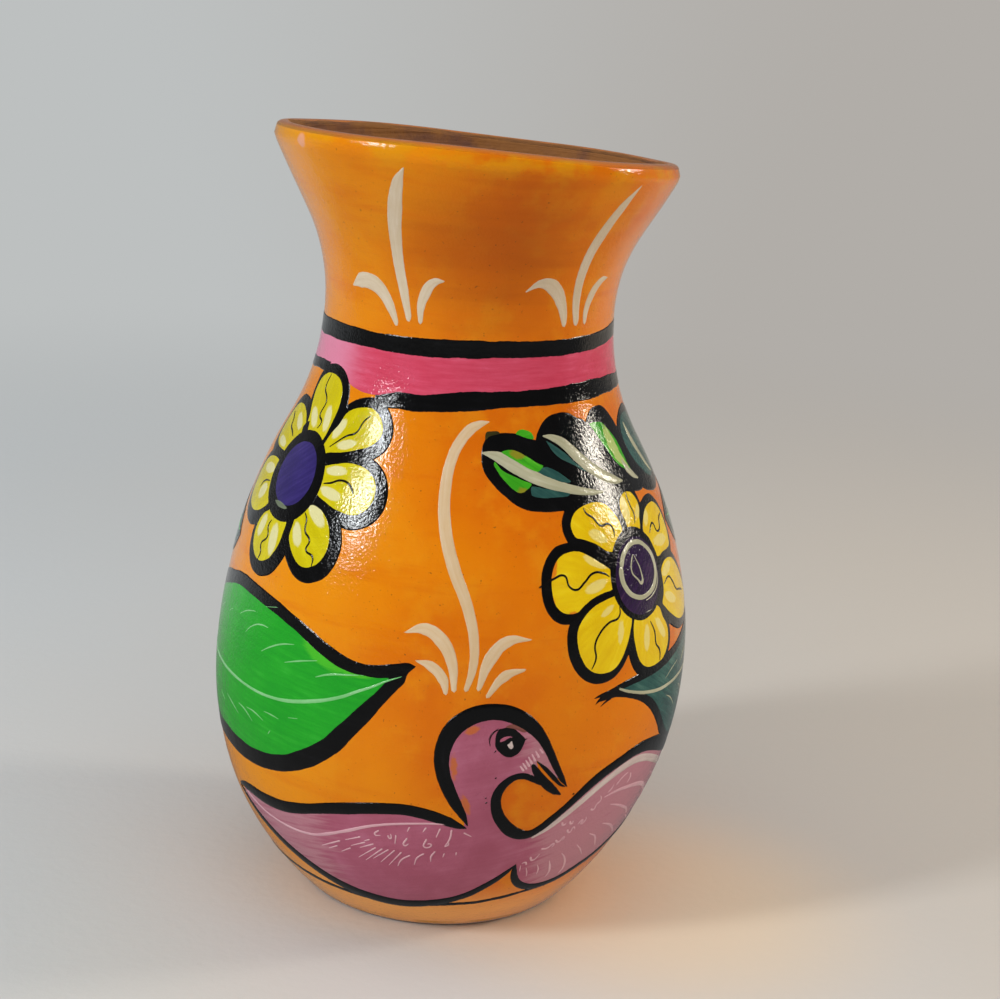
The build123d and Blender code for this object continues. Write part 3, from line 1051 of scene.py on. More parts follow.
rightFlower = {
    "heart": (65.7, 123.5, 14.1, 14.0, 0),
    "violet": (66.0, 122.8, 12.2, 11.8, 0),
    "border": (2.4, 0.7, 190),
    "petals": [
        [(63.6, 142.6), (65.7, 146), (70.1, 147.3), (73.9, 146.4), (76.1, 143.9), (76.3, 141.2),
         (74.5, 138.6), (72, 134.5), (66, 134.5), (64.5, 139)],
        [(39.2, 140.6), (40.3, 143), (42.6, 144.8), (46, 146), (50, 146.6), (54.5, 146.3), (57.6, 145),
         (60.1, 142.6), (62.2, 139.2), (62.4, 136.5), (58, 131.5), (53.4, 131.4), (50.1, 133.2), (47, 134.8),
         (43.2, 136.1), (40.6, 137)],
        [(29.6, 124.6), (30.2, 128.3), (32, 131.3), (34.5, 133.2), (38, 133.9), (41.4, 133.6), (45.1, 132.1),
         (48.2, 130.1), (52, 127.8), (56, 124), (52.5, 120.9), (48.9, 120.4), (45.1, 119.5), (41.4, 117.9),
         (38.7, 116.2), (35.8, 115.8), (33.2, 116.4), (31.3, 118), (30, 120.6)],
        [(37.3, 108.9), (37.7, 111.6), (39.5, 114.5), (42.6, 117), (47, 118.6), (50.8, 119.3), (54.6, 119.4),
         (59, 116), (60, 111.4), (58.9, 108.1), (57.6, 105), (55.8, 102), (53.2, 99), (50.1, 97.5),
         (47, 97.3), (43.9, 98.1), (40.8, 100.1), (38.3, 104)],
        [(60.2, 111.2), (59.6, 107), (60.1, 103.2), (61.4, 99.5), (63.5, 96.8), (66, 95.3), (69.5, 94.7),
         (73.2, 94.8), (76.4, 95.5), (78.9, 97.6), (80.3, 100.5), (80.3, 103.4), (79.1, 106), (77, 108.4),
         (75, 112), (68, 114), (62, 113.5)],
        [(77, 112), (78.9, 115.1), (79.5, 118.4), (79.8, 121.6), (83.2, 123.5), (88.2, 123.6), (92.6, 122.3),
         (96.4, 119.5), (99.7, 115.7), (102.8, 112), (104.6, 108.7), (104, 105.4), (101.2, 103.1),
         (96.4, 102.3), (91.4, 103), (87, 104.8), (83.2, 107), (79.5, 109.6)],
        [(73.4, 134.6), (77, 138.9), (80.1, 140.4), (84.5, 141.2), (88.3, 141), (91.4, 139.4), (93.9, 136.4),
         (94.9, 132.2), (94.5, 128.3), (92.8, 125.8), (88.9, 125.4), (84.5, 125.5), (79.5, 125.2),
         (74, 129)],
    ],
    "pale": [(66.6, 142, 8, 4.2, 82), (73.6, 140.4, 5, 2.4, 45), (50.1, 136.7, 8, 3.4, -22),
             (58.9, 140.3, 5.5, 2.6, -50), (47, 129.8, 10, 3, -24), (46.1, 122.9, 9, 3, 12),
             (49.4, 115.4, 6, 2, 25), (54.2, 108.6, 7, 2.4, 80), (66.4, 104.5, 8, 3, 85),
             (74.8, 105.4, 9, 2.8, -50), (84.5, 120.8, 9, 3, 8), (84.2, 112, 10, 3, -25),
             (84.5, 129.5, 11.5, 3.3, -6), (78.2, 137.6, 6, 2.8, 40)],
    "bare": [(31.2, 129, 7, 2.4, 72), (29.9, 120, 6, 1.8, 105), (37, 116.2, 4, 1.2, -10)],
    "ring": [
        [(57.4, 126.4, 1.5), (59.8, 130, 1.3), (66, 132.5, 1.1), (72.4, 130.3, 1.1), (75.9, 125, 1.3),
         (74.3, 119.6, 1.4), (69, 116.8, 1.1), (62.4, 117.3, 1.1), (58.2, 120.6, 1.4), (57.1, 124.2, 1.6),
         (57.6, 127, 1.4)],
        [(77.2, 122.6, .15), (75.6, 118.7, .35), (71.6, 116, .35), (67, 115.1, .2)],
        [(64.4, 129.6, .3), (62.2, 124.8, .45), (64.6, 122, .45), (66.5, 120.6, .9), (67, 123.6, .4),
         (64.8, 129.2, .25)],
    ],
    "glint": [(64.8, 112), (68, 112.6), (71.6, 112.4), (70, 111.6), (67, 111.3)],
    "veins": [
        [(69.8, 137.3), (71, 140.1), (70.2, 142.6), (69.8, 145.1), (70.1, 147.2)],
        [(57.3, 135.4), (57.6, 137.6), (56.1, 139.4), (52, 139.5), (49.5, 142), (47, 143.6), (46.1, 145.4)],
        [(52, 124.8), (49.5, 126.2), (45.4, 126.7), (41.7, 124.5), (38.6, 122.8), (36.1, 123.9), (34.8, 127),
         (30.8, 126.4), (25.8, 124.2)],
        [(54.6, 116.4), (54, 113.2), (49.5, 112), (46.1, 109.8), (43.9, 106.4), (44.2, 102.6), (42.6, 99.5)],
        [(68.6, 108.9), (70.8, 105.1), (71.4, 101.4), (73.6, 98.9), (73.8, 95.4)],
        [(80.1, 117), (85.1, 118.2), (87.6, 116.4), (90.8, 112.9), (95.8, 111.4), (99.5, 110)],
        [(77.6, 132.9), (80.8, 135.1), (82.3, 135.1), (83.6, 132.6), (86.4, 132.3), (89.2, 135.1),
         (92.6, 136.1)],
    ],
}

backFlower = {     # out of the photograph's sight: the same hand, the same kind of flower
    "heart": (226, 130, 14.5, 13.6, 0),
    "violet": (226, 130.3, 10.6, 10, 0),
    "border": (3.0, 0.9, -60),
    "seed": 7,
    "count": 7,
    "firstLean": 12,
    "leanSpread": 5,
    "reach": 21.5,
    "length": 23.0,
    "width": 17.0,
    "egg": 0.3,                 # wider at the outer end
    "dabs": (-3.6, 3.4),        # to the sides of a petal's middle line
    "dabPlace": 18,
    "dabSize": (9, 3.4),
    "veinFrom": 13.5,
    "sway": 1.6,
    "ring": (226, 130.2, 8.4, 8.0, 0.55),
}


def petalRound(flower):     # petals, dabs and veins worked out for the flower at the back
    chance = np.random.default_rng(flower["seed"])
    a0, s0 = flower["heart"][:2]
    petals, pale, veins = [], [], []
    for k in range(flower["count"]):
        spread = flower["leanSpread"]
        lean = 360 / flower["count"] * k + flower["firstLean"] + chance.uniform(-spread, spread)
        reach = flower["reach"] + chance.uniform(-1, 1)
        length, width = flower["length"] + chance.uniform(-2, 2), flower["width"] + chance.uniform(-1.5, 1.5)
        turn = np.arange(26) / 26 * 2 * pi
        along = length / 2 * np.cos(turn) + reach
        side = width / 2 * np.sin(turn) * (1 + flower["egg"] * np.cos(turn))
        c, w = cos(radians(lean)), sin(radians(lean))
        petals.append(np.stack([a0 + along * c - side * w, s0 + along * w + side * c], -1))
        out = flower["dabPlace"]
        for offset in flower["dabs"]:
            spot = (a0 + out * c - offset * w, s0 + out * w + offset * c)
            pale.append((*spot, *flower["dabSize"], lean + offset * 2))
        steps = np.linspace(flower["veinFrom"], reach + length / 2 - 2, 6)
        sway = chance.uniform(-flower["sway"], flower["sway"], 6)
        veins.append([(a0 + t * c - v * w, s0 + t * w + v * c) for t, v in zip(steps, sway)])
    return petals, pale, veins


def addFlower(name, flower, petals, petalCoat, extraBlack=(), seed=1.0, heartCoat="violet"):
    heart, strokes = oval(*flower["heart"]), spreading(flower["heart"][:2])
    outline = [grown(petal, *flower["border"]) for petal in petals] + [heart] + list(extraBlack)
    addFilm(name + "Outline", outline, "black", 0.16, strokes, joined=True, seed=seed)
    dabs = {"pale": patches(flower["pale"])}
    if "bare" in flower:
        dabs["tint"] = patches(flower["bare"])
    addFilm(name + "Petals", petals, petalCoat, 0.21, strokes, dabs, spacing=1.15, seed=seed + 20)
    addFilm(name + "HeartEdge", [heart], "black", 0.25, strokes, seed=seed + 40)
    addFilm(name + "Heart", [oval(*flower["violet"])], heartCoat, 0.28, straight(35), seed=seed + 41)


# The leaves

greenLeaf = {
    "edge": [(-9.6, 101.6), (-9.6, 101.6), (-12, 99.1), (-12.6, 96.6), (-14.5, 94.1), (-18.2, 89.1),
             (-22, 83.5), (-25.8, 78.5), (-29.5, 73.5), (-33.9, 69.4), (-38.2, 66), (-43.2, 63.2),
             (-48.9, 60.7), (-55.8, 58.8), (-62, 57.8), (-69.5, 57.2), (-77, 57.3), (-84, 57.6), (-91, 57.6),
             (-100, 58.6), (-110, 62), (-119, 68), (-126, 76), (-129.5, 84), (-129.5, 84), (-124, 95),
             (-116, 102), (-106, 106), (-100.8, 107.8), (-94.5, 109.3), (-89.5, 110.5), (-84.5, 111.7),
             (-79.5, 112.2), (-74.5, 112.2), (-68.2, 111.8), (-62, 111), (-55.8, 109.8), (-49.5, 108),
             (-43.2, 106), (-38.2, 103.9), (-33.2, 101.9), (-28.2, 100.5), (-24.5, 100.2), (-20.1, 100.7),
             (-15.8, 101.7), (-12, 102.5)],
    "fill": [(-16.2, 97.9), (-16.2, 97.9), (-19.5, 93.5), (-22.6, 89.8), (-26.4, 85.4), (-30.1, 81),
             (-34.5, 76), (-38.9, 72.2), (-43.2, 69.4), (-48.2, 66.6), (-53.2, 64.8), (-58.9, 63.5),
             (-65.8, 62.8), (-73.2, 62.9), (-80.8, 63.2), (-88.2, 63.2), (-97, 64), (-106, 67), (-114, 72),
             (-120.5, 78.5), (-124, 84.5), (-124, 84.5), (-119, 92.5), (-111, 98.5), (-103.3, 102),
             (-96.4, 104.5), (-90.1, 106.6), (-85.1, 108), (-80.1, 108.7), (-74.5, 108.6), (-68.2, 108.2),
             (-62, 107.5), (-55.8, 106.4), (-49.5, 104.8), (-44.5, 102.9), (-38.9, 100.4), (-33.9, 98.5),
             (-28.2, 97.4), (-22, 97.2)],
    # painted sheen: the leaf is lighter and yellower near its right end
    "glow": [(-38, 99.5, 17, 5.5, -22), (-28, 96.6, 13, 2.2, 0)],
    "ribs": [
        [(-118, 84.5, .3), (-108, 83, .6), (-98, 82.4, .7), (-88, 82.3, .75), (-80, 82.2, .7),
         (-70, 82.1, .6), (-60, 82.2, .6), (-55, 82.6, .65), (-49.5, 83.4, .75), (-44.5, 84.6, .85),
         (-40, 85.9, .85), (-35, 87.6, .75), (-30, 89.8, .65), (-26, 92, .6), (-22, 94, .5),
         (-18, 96.3, .35), (-13.5, 98.3, .12)],
        [(-89.8, 96.6, .08), (-86, 99.2, .22), (-82.6, 101, .1)],
        [(-79.5, 99.4, .1), (-75.8, 101.9, .25), (-72, 103.5, .3), (-67, 104.6, .12)],
        [(-73.2, 96, .1), (-68.9, 99.8, .3), (-64.5, 101.6, .35), (-59.2, 101.8, .12)],
        [(-62.6, 94.1, .15), (-58.2, 96.9, .35), (-53.2, 99.2, .35), (-48.2, 100.4, .12)],
        [(-52, 94.1, .12), (-46.4, 96.1, .38), (-39.5, 98, .15)],
        [(-40.1, 93, .15), (-35.8, 94.8, .45), (-29.5, 96.1, .35), (-24.5, 96.9, .1)],
        [(-65.4, 106.8, .08), (-58.2, 108.6, .12)], [(-101, 93, .1), (-97, 97, .3), (-92, 99.6, .1)],
        [(-89.5, 73.8, .1), (-85.1, 72.2, .3), (-81.4, 71, .1)],
        [(-82, 74.8, .12), (-76.4, 73.2, .4), (-70.8, 71, .12)],
        [(-72.6, 75.1, .15), (-68.2, 74.4, .45), (-63.2, 71.9, .12)],
        [(-67.9, 75.4, .12), (-63.2, 75.5, .4), (-57.9, 74.2, .12)],
        [(-58.6, 77.3, .12), (-54.5, 77.3, .35), (-50.8, 76.9, .12)],
        [(-52, 77.9, .1), (-45.8, 79.1, .2), (-40.8, 80.2, .08)],
        [(-56.4, 70.4, .1), (-55.6, 71.6, .25), (-54.9, 72.6, .1)],
        [(-101, 75, .1), (-96, 72.6, .3), (-91.5, 71.4, .1)],
    ],
}

tealLeaf = {
    "edge": [(44.7, 89.2), (44.7, 89.2), (48, 89.4), (52, 89.5), (58, 88.1), (63, 86), (68, 83.2),
             (73, 78.8), (77, 74.3), (81, 69.8), (88, 65.5), (97, 61.5), (108, 62), (118, 66), (126, 74),
             (131, 83), (131, 83), (126, 93), (118, 99), (109, 101.5), (102, 101), (94, 99), (86, 97.4),
             (78, 96.4), (70, 95.4), (63, 94.6), (56, 93.8), (50, 92.4), (46.5, 91)],
    "fill": [(53.6, 91.6), (53.6, 91.6), (57, 90.2), (61, 89), (66, 87), (71, 84), (76, 79.4), (80.5, 74.4),
             (85, 70.2), (91, 66.6), (98, 65), (107, 65.6), (116, 69.5), (123, 76), (127, 83), (127, 83),
             (122, 91), (115, 96), (107, 98.2), (100, 97.8), (92, 96), (84, 94.4), (75, 93.2), (66, 92.6),
             (58, 92.2)],
    "ribs": [
        [(53.5, 92, .3), (57, 90.6, .55), (62, 89, .6), (67, 87.7, .7), (74, 86.5, .8), (84, 85.9, .8),
         (95, 85.7, .75), (106, 85.4, .6), (118, 84.4, .3)],
        [(80, 83, .1), (85, 80.5, .35), (90, 76.5, .12)], [(92, 82.8, .1), (97, 80, .35), (102, 75.5, .12)],
        [(78, 88.4, .1), (84, 90.4, .3), (91, 91.6, .1)], [(91, 88.4, .1), (97, 91, .35), (104, 92.4, .1)],
    ],
    "bristles": [     # the brush ran dry at the tip
        [(50, 91.6, .8), (46.4, 91.2, .5), (44.2, 90.8, .1)],
        [(50, 90.6, .6), (46.6, 89.9, .35), (44.8, 88.9, .08)],
        [(51, 90, .5), (48.4, 88.9, .3), (46.8, 87.9, .08)],
    ],
}

topLeaves = {
    "edges": [
        [(7.7, 161.4), (8.3, 164.2), (10.5, 166.6), (14, 167.6), (18, 167.9), (22.8, 167.6), (26.5, 166.8),
         (30.3, 165.9), (36, 164.5), (50, 158), (56, 149), (50, 144.5), (42, 144.8), (36.5, 144.9),
         (32, 144.9), (27.8, 145.2), (22.8, 146.1), (19, 148), (15.3, 150.5), (12.1, 153), (9.6, 155.7),
         (8.1, 158.6)],
        [(31, 163), (31.5, 166.2), (33.4, 168.8), (36, 170.9), (39, 172.2), (42.8, 172.8), (46.5, 173),
         (50.2, 172.4), (54, 170.9), (58, 169.8), (66, 164), (74, 152), (70, 146), (58, 147), (40, 154)],
        [(58, 168), (61, 171), (65, 172.8), (69.5, 173.1), (73.5, 172.4), (76.8, 170.9), (79.4, 168.9),
         (81.6, 166.4), (84, 162), (87, 152), (86, 146), (76, 146), (64, 150), (58, 158)],
        [(81, 162), (82.4, 165.2), (85.2, 167.2), (88.4, 168.5), (92, 169.4), (96, 169.9), (101, 169.8),
         (106, 169), (111, 167), (115.5, 163), (118, 157), (117, 150), (112, 144.5), (104, 142.4),
         (94, 142.8), (84, 146), (80, 154)],
    ],
    "greens": [
        [(15.4, 162.4), (19.6, 163.4), (23.4, 162.8), (27.1, 161.2), (30.9, 159.3), (33.6, 158.2),
         (31, 156.2), (24.6, 157.6), (19, 159.8)],
        [(12.3, 158.8), (13.2, 160), (16.5, 157.4), (22.8, 155), (27.6, 153.2), (25.6, 151.4), (22.6, 150.3),
         (19, 151.6), (16, 154), (13.8, 156.4)],
        [(60.2, 168.7), (62.1, 168.9), (65.9, 168.8), (69.6, 168.3), (72.1, 167), (74.6, 165.2), (76.8, 163),
         (78.4, 160.5), (79.4, 157.4), (79.8, 154.2), (81, 151), (79, 151.4), (75.9, 152.4), (72.8, 153.9),
         (70.2, 156.1), (68.4, 158.6), (66.5, 161.1), (64.6, 163.6), (62.8, 165.8), (60.7, 167.7)],
    ],
    "olive": [(22.5, 161.6, 7, 2.6, -12), (23.2, 151.2, 5, 2.4, -10)],
    "paleGreen": [(72.8, 160.5, 13, 5.4, -66), (77, 154.5, 7, 2.2, -50)],
    "teals": [
        [(29.5, 157), (33.6, 158.2), (37, 157.4), (40.4, 155.8), (44.6, 152.6), (38, 152.8), (32, 155)],
        [(26.4, 152.6), (30, 152.4), (36, 151.4), (42.8, 149.8), (41, 148.6), (35.2, 148.5), (30.2, 148.7),
         (26, 149.8)],
        [(34.8, 166.2), (36.8, 165.4), (41.5, 163.3), (44.6, 161.4), (47.8, 158.9), (51.5, 156.4),
         (55.4, 153.8), (50.2, 155.4), (46.4, 157.3), (41.5, 159.3), (38.3, 161.4), (36, 164.2)],
        [(83.9, 162.2), (86.2, 165.6), (91, 167.6), (98, 167.8), (105, 166.6), (111, 162.6), (114, 156.5),
         (112.6, 150.6), (107.5, 146.8), (101, 145.8), (94.6, 147.4), (88.6, 151.4), (84.6, 156.6)],
    ],
    "stripes": [
        [(8, 162, .2), (11.5, 161.6, 1.1), (15.5, 160.6, 2.0), (20, 158.6, 2.3), (28, 155.2, 2.2),
         (36, 152.6, 1.9), (44, 150.6, 1.5), (52, 149.2, 1.0), (58, 148.6, .3)],
        [(34.6, 166.6, .2), (39, 165.9, 1.1), (44.5, 163.8, 1.9), (48.5, 160.8, 2.3), (52.6, 157.7, 2.4),
         (57, 155, 2.2), (62, 152.6, 2.0), (66.5, 151.1, 1.5), (71, 150.1, .3)],
        [(75.2, 156, .6), (77.2, 153, 1.7), (80, 150.7, 1.4), (83.4, 148.8, .25)],
        [(90.6, 165.4, .5), (92.2, 161.6, 2.2), (95, 156.6, 2.2), (98.4, 151.6, 1.6), (102.8, 147.2, .3)],
    ],
    "smudges": [
        [(22.2, 167.2), (24, 168.6), (27, 168.8), (30, 167.8), (31, 166), (27, 165.6)],
        [(9.4, 165.6), (9.8, 168), (12, 168.4), (15.4, 168.2), (16.5, 167), (13, 165.8)],
    ],
}

backLeaves = {     # guesses for the side that can't be seen
    "edges": [
        [(97.2, 133), (97.2, 133), (104, 125.4), (116, 120.4), (132, 119.6), (150, 123), (166, 131),
         (172, 138), (166, 146), (150, 150.4), (134, 149), (116, 142), (104, 137.6)],
        [(-97.4, 119), (-97.4, 119), (-104, 112.4), (-116, 110), (-132, 112), (-150, 119), (-163, 128),
         (-168, 137), (-160, 143), (-146, 144), (-130, 138.6), (-114, 129.6), (-104, 124.4)],
        [(222, 104), (222, 104), (214, 92), (200, 80), (184, 72), (168, 68.6), (150, 72), (150, 72),
         (158, 84), (172, 95), (190, 103), (208, 107)],
        [(230, 104), (230, 104), (238, 92), (252, 80), (268, 72), (284, 68.6), (300, 72), (300, 72),
         (292, 84), (278, 95), (260, 103), (242, 107)],
        [(214, 154), (214, 154), (206, 166), (194, 171.6), (180, 170), (170, 162), (170, 162), (180, 153),
         (194, 149), (206, 150)],
        [(238, 154), (238, 154), (246, 166), (258, 171.6), (272, 170), (282, 162), (282, 162), (272, 153),
         (258, 149), (246, 150)],
    ],
    "paints": ["teal", "teal", "green", "teal", "bright", "bright"],
    "border": 2.6,
    "ribs": [
        [(102, 133, .2), (118, 131, .8), (136, 133, .9), (156, 136.4, .4)],
        [(-102, 119.4, .2), (-118, 121.6, .8), (-136, 127.4, .9), (-154, 134.6, .4)],
        [(154, 74, .2), (170, 83, .8), (190, 93, .9), (212, 101, .4)],
        [(296, 74, .2), (280, 83, .8), (262, 93, .9), (240, 101, .4)],
        [(175, 162, .2), (186, 162, 1.4), (198, 159.6, 1.2), (208, 156, .3)],
        [(277, 162, .2), (266, 162, 1.4), (254, 159.6, 1.2), (244, 156, .3)],
    ],
}


# The bird

bird = {
    "fill": [(-79.6, 43.6), (-79.6, 43.6), (-73, 45), (-66, 45.9), (-58.7, 46.4), (-52.5, 47.2),
             (-46.2, 48.8), (-40, 50.8), (-33.7, 52.9), (-27.5, 54.6), (-21.2, 56.2), (-15, 57.3),
             (-10, 57.8), (-5.6, 57.4), (-1.2, 56.4), (3.7, 54.7), (8.6, 52.9), (8.6, 52.9), (8, 56),
             (5.6, 60.4), (3, 65.6), (1.2, 70.6), (.4, 76), (1, 80.8), (2.9, 84), (5.9, 86.6), (9.8, 88.2),
             (13.5, 88.6), (17.2, 88), (20.7, 86.5), (24.3, 84), (27.7, 80.5), (30.3, 76.6), (33.3, 71.6),
             (36.4, 66.9), (36.4, 66.9), (33, 68.6), (27.4, 73.8), (27.4, 73.8), (29.4, 68.6), (32.6, 65.4),
             (32.6, 65.4), (28, 68.4), (24.1, 70.2), (21.4, 70.2), (18.6, 68.6), (16.6, 66), (15.9, 63.3),
             (16.2, 60.2), (17.5, 56.8), (19.6, 53.6), (22.4, 50.8), (25.5, 48.9), (28.4, 48), (31, 48.2),
             (33.6, 49.6), (36.6, 52.4), (40.5, 55.8), (44, 59), (47.5, 61.9), (51, 64.2), (55.3, 66),
             (60, 67.5), (64.5, 68.4), (68.5, 68.7), (73, 68.2), (78, 66.8), (83, 65), (88, 62.8),
             (93, 60.6), (100, 57.6), (107, 53.8), (113, 48.8), (118, 43.4), (118, 43.4), (110, 40.8),
             (100, 37.8), (90, 35.2), (80.2, 32.8), (74, 30.8), (67.8, 28.6), (61.5, 26.8), (55.3, 24.7),
             (49.6, 23.4), (44.6, 23), (39.6, 23.3), (36, 24.7), (33, 27), (30.9, 30), (29.8, 33.2),
             (29.2, 36), (29.2, 36), (26.3, 33), (23.2, 30), (19.2, 26.8), (14.8, 24), (10, 21.6), (5, 20),
             (0, 18.8), (-5, 17.9), (-10, 17.2), (-15, 17), (-20, 17.2), (-25, 17.8), (-30, 18.6),
             (-35, 19.8), (-40.5, 21), (-45, 22.8), (-50, 25), (-55, 27.3), (-60, 29.7), (-65, 32.4),
             (-70, 35.2), (-75.5, 38.8)],
    "orangeShows": [(3.4, 73, 9, 2.0, 96), (7.4, 84.4, 4.5, 2.6, 25), (8, 61, 8, 2.4, 112),
                    (33.5, 71.6, 6, 1.6, -58), (30.6, 70.4, 5, 1.3, -48), (20.4, 86.2, 6, 1.8, -24)],
    "fatter": 0.36,
    "lines": [
        [(9.6, 53.4, .12), (7.6, 57.2, .9), (4.9, 61.6, 1.5), (2.4, 66.4, 1.75), (.6, 71, 1.8),
         (-.2, 76, 1.95), (.5, 80.8, 2.2), (2.3, 84.6, 2.4), (5.6, 87.6, 2.4), (9.6, 89.3, 2.3),
         (13.4, 89.7, 2.15), (17.3, 89.1, 2.2), (20.9, 87.5, 2.1), (24.6, 84.9, 1.8), (28, 81.2, 1.3),
         (30.7, 77, 1.0), (33.6, 71.9, .9), (36.4, 67.5, .7), (38.9, 64.2, .1)],
        [(27.2, 74.3, .15), (30.5, 71.3, .5), (33.7, 68, .55), (36.6, 65.2, .3), (38.3, 64.4, .1)],
        [(25.9, 73.6, .4), (27.3, 71.2, .85), (29.7, 68.2, 1.0), (32.5, 65.4, 1.1), (35, 63.3, .8),
         (37.4, 61.8, .12)],
        [(33.5, 64.8, .2), (29.2, 67.2, .6), (26.5, 68.8, .75), (24.1, 69.8, .8), (21.7, 69.8, .85),
         (19.3, 68.5, 1.0), (17.4, 66.1, 1.2), (16.6, 63.3, 1.3), (16.9, 60.4, 1.35), (18.1, 57.1, 1.5),
         (20, 54.2, 1.6), (22.6, 51.4, 1.8), (25.5, 49.5, 1.7), (28.4, 48.6, 1.4), (30.8, 48.9, 1.25),
         (33.4, 50.4, 1.25), (36.6, 53.2, 1.2), (40.5, 56.6, 1.1), (44, 59.8, 1.3), (47.5, 62.7, 1.5),
         (51, 64.9, 1.6), (55.3, 66.7, 1.5), (60, 68.1, 1.5), (64.5, 69.1, 1.6), (68.5, 69.4, 1.8),
         (73, 69, 1.9), (78, 67.9, 2.3), (83, 66.4, 2.6), (88, 64.4, 2.6), (94, 61.8, 2.2), (100, 59, 1.9),
         (107, 55, 1.8), (113, 50, 1.6), (118.6, 43.4, .2)],
        [(-81.5, 44, .3), (-76, 45.2, 1.3), (-70, 45.9, 1.75), (-64, 46, 1.9), (-58.7, 46.4, 2),
         (-52.5, 47.2, 1.9), (-46.2, 48.8, 1.75), (-40, 50.8, 1.55), (-33.7, 52.9, 1.7), (-27.5, 54.6, 1.85),
         (-21.2, 56.2, 1.75), (-15, 57.3, 1.7), (-10, 57.8, 1.65), (-5.6, 57.4, 1.65), (-1.2, 56.4, 1.65),
         (3.7, 54.7, 1.4), (7, 53.3, .8), (9.4, 52.6, .12)],
        [(-82, 43.2, .3), (-75.5, 38.4, 1.3), (-70, 34.8, 1.6), (-65, 32, 1.8), (-60, 29.3, 1.9),
         (-55, 26.8, 2), (-50, 24.5, 2.05), (-45, 22.3, 2.1), (-40.5, 20.5, 2.1), (-35, 18.7, 2.2),
         (-30, 17.4, 2.2), (-25, 16.5, 2.2), (-20, 15.9, 2.2), (-15, 15.6, 2.1), (-10, 15.7, 2.0),
         (-5, 16.3, 1.9), (0, 17.3, 1.7), (5, 18.7, 1.5), (10, 20.6, 1.4), (15, 23.2, 1.4),
         (19.5, 26.6, 1.3), (23.5, 30, 1.1), (26.5, 33.2, .8), (28.8, 36.2, .15)],
        [(28.8, 36.6, .12), (29.3, 33, .85), (30.4, 29.8, 1.1), (32.5, 26.8, 1.25), (36, 24.2, 1.35),
         (39.6, 22.9, 1.35), (44.6, 22.4, 1.25), (49.6, 22.8, 1.2), (55.3, 24.1, 1.25), (61.5, 26.3, 1.3),
         (67.8, 28.1, 1.3), (74, 30.3, 1.35), (80.2, 32.4, 1.4), (90, 34.8, 1.4), (100, 37.4, 1.4),
         (110, 40.4, 1.2), (118.6, 43.6, .2)],
    ],
    "eye": [(14.4, 84.4), (16.6, 85.4), (19.2, 85), (21.4, 83.4), (23.2, 81.4), (22.6, 79.2), (21.6, 77.2),
            (19.6, 75.9), (17.4, 76.2), (15.8, 77.4), (14.2, 79.4), (13.8, 82)],
    "eyeStrokes": [
        [(15.6, 84.9, .12), (13.6, 83.8, .2), (12.6, 81.6, .22), (12.9, 79.6, .12)],
        [(14.8, 85, .1), (12.9, 83.4, .12), (12.2, 81.4, .1)], [(14.8, 78.4, .3), (14.2, 77.7, .12)],
        [(22.6, 81.2, .3), (23.5, 81.6, .1)],
    ],
    "eyeShine": [
        [(15.2, 80.7), (15.3, 82), (17, 83), (19.2, 82.6), (20, 81.6), (18.2, 81.7), (16.8, 80.9)],
        [(17.2, 80.2), (18.1, 80.9), (19, 82.3), (19.5, 80.6), (19.9, 79.2), (18.9, 78.3), (17.8, 79)],
    ],
    "smear": [(15.8, 85), (18.2, 86.4), (21.6, 85.8), (24, 83.8), (22.6, 83), (19.5, 84.2), (17, 84.6)],
    "ticks": [
        [(28.9, 76.4), (27.9, 77.7)], [(27.8, 75.2), (26.7, 77)], [(26.8, 74.2), (25.7, 76.1)],
        [(26, 73.3), (24.8, 75.3)], [(25.3, 72.6), (24.1, 74.4)], [(24.5, 71.9), (23.3, 73.6)],
        [(23.7, 71.4), (22.6, 72.8)],
    ],
    "ticksLonger": 1.35,
    "tickWidth": 0.42,
    "specks": [(15.6, 69.8, .28), (11, 64.8, .2), (10.6, 64.4, .16), (11.6, 65.3, .14), (13.5, 63.3, .26),
               (15.2, 64.8, .22), (13.9, 61.7, .3), (13.5, 59.4, .2), (12.8, 63.8, .14), (14.6, 63.9, .16),
               (-6, 96.5, .2), (.6, 92.2, .16), (42, 61.2, .3), (36.5, 62.4, .16)],
}

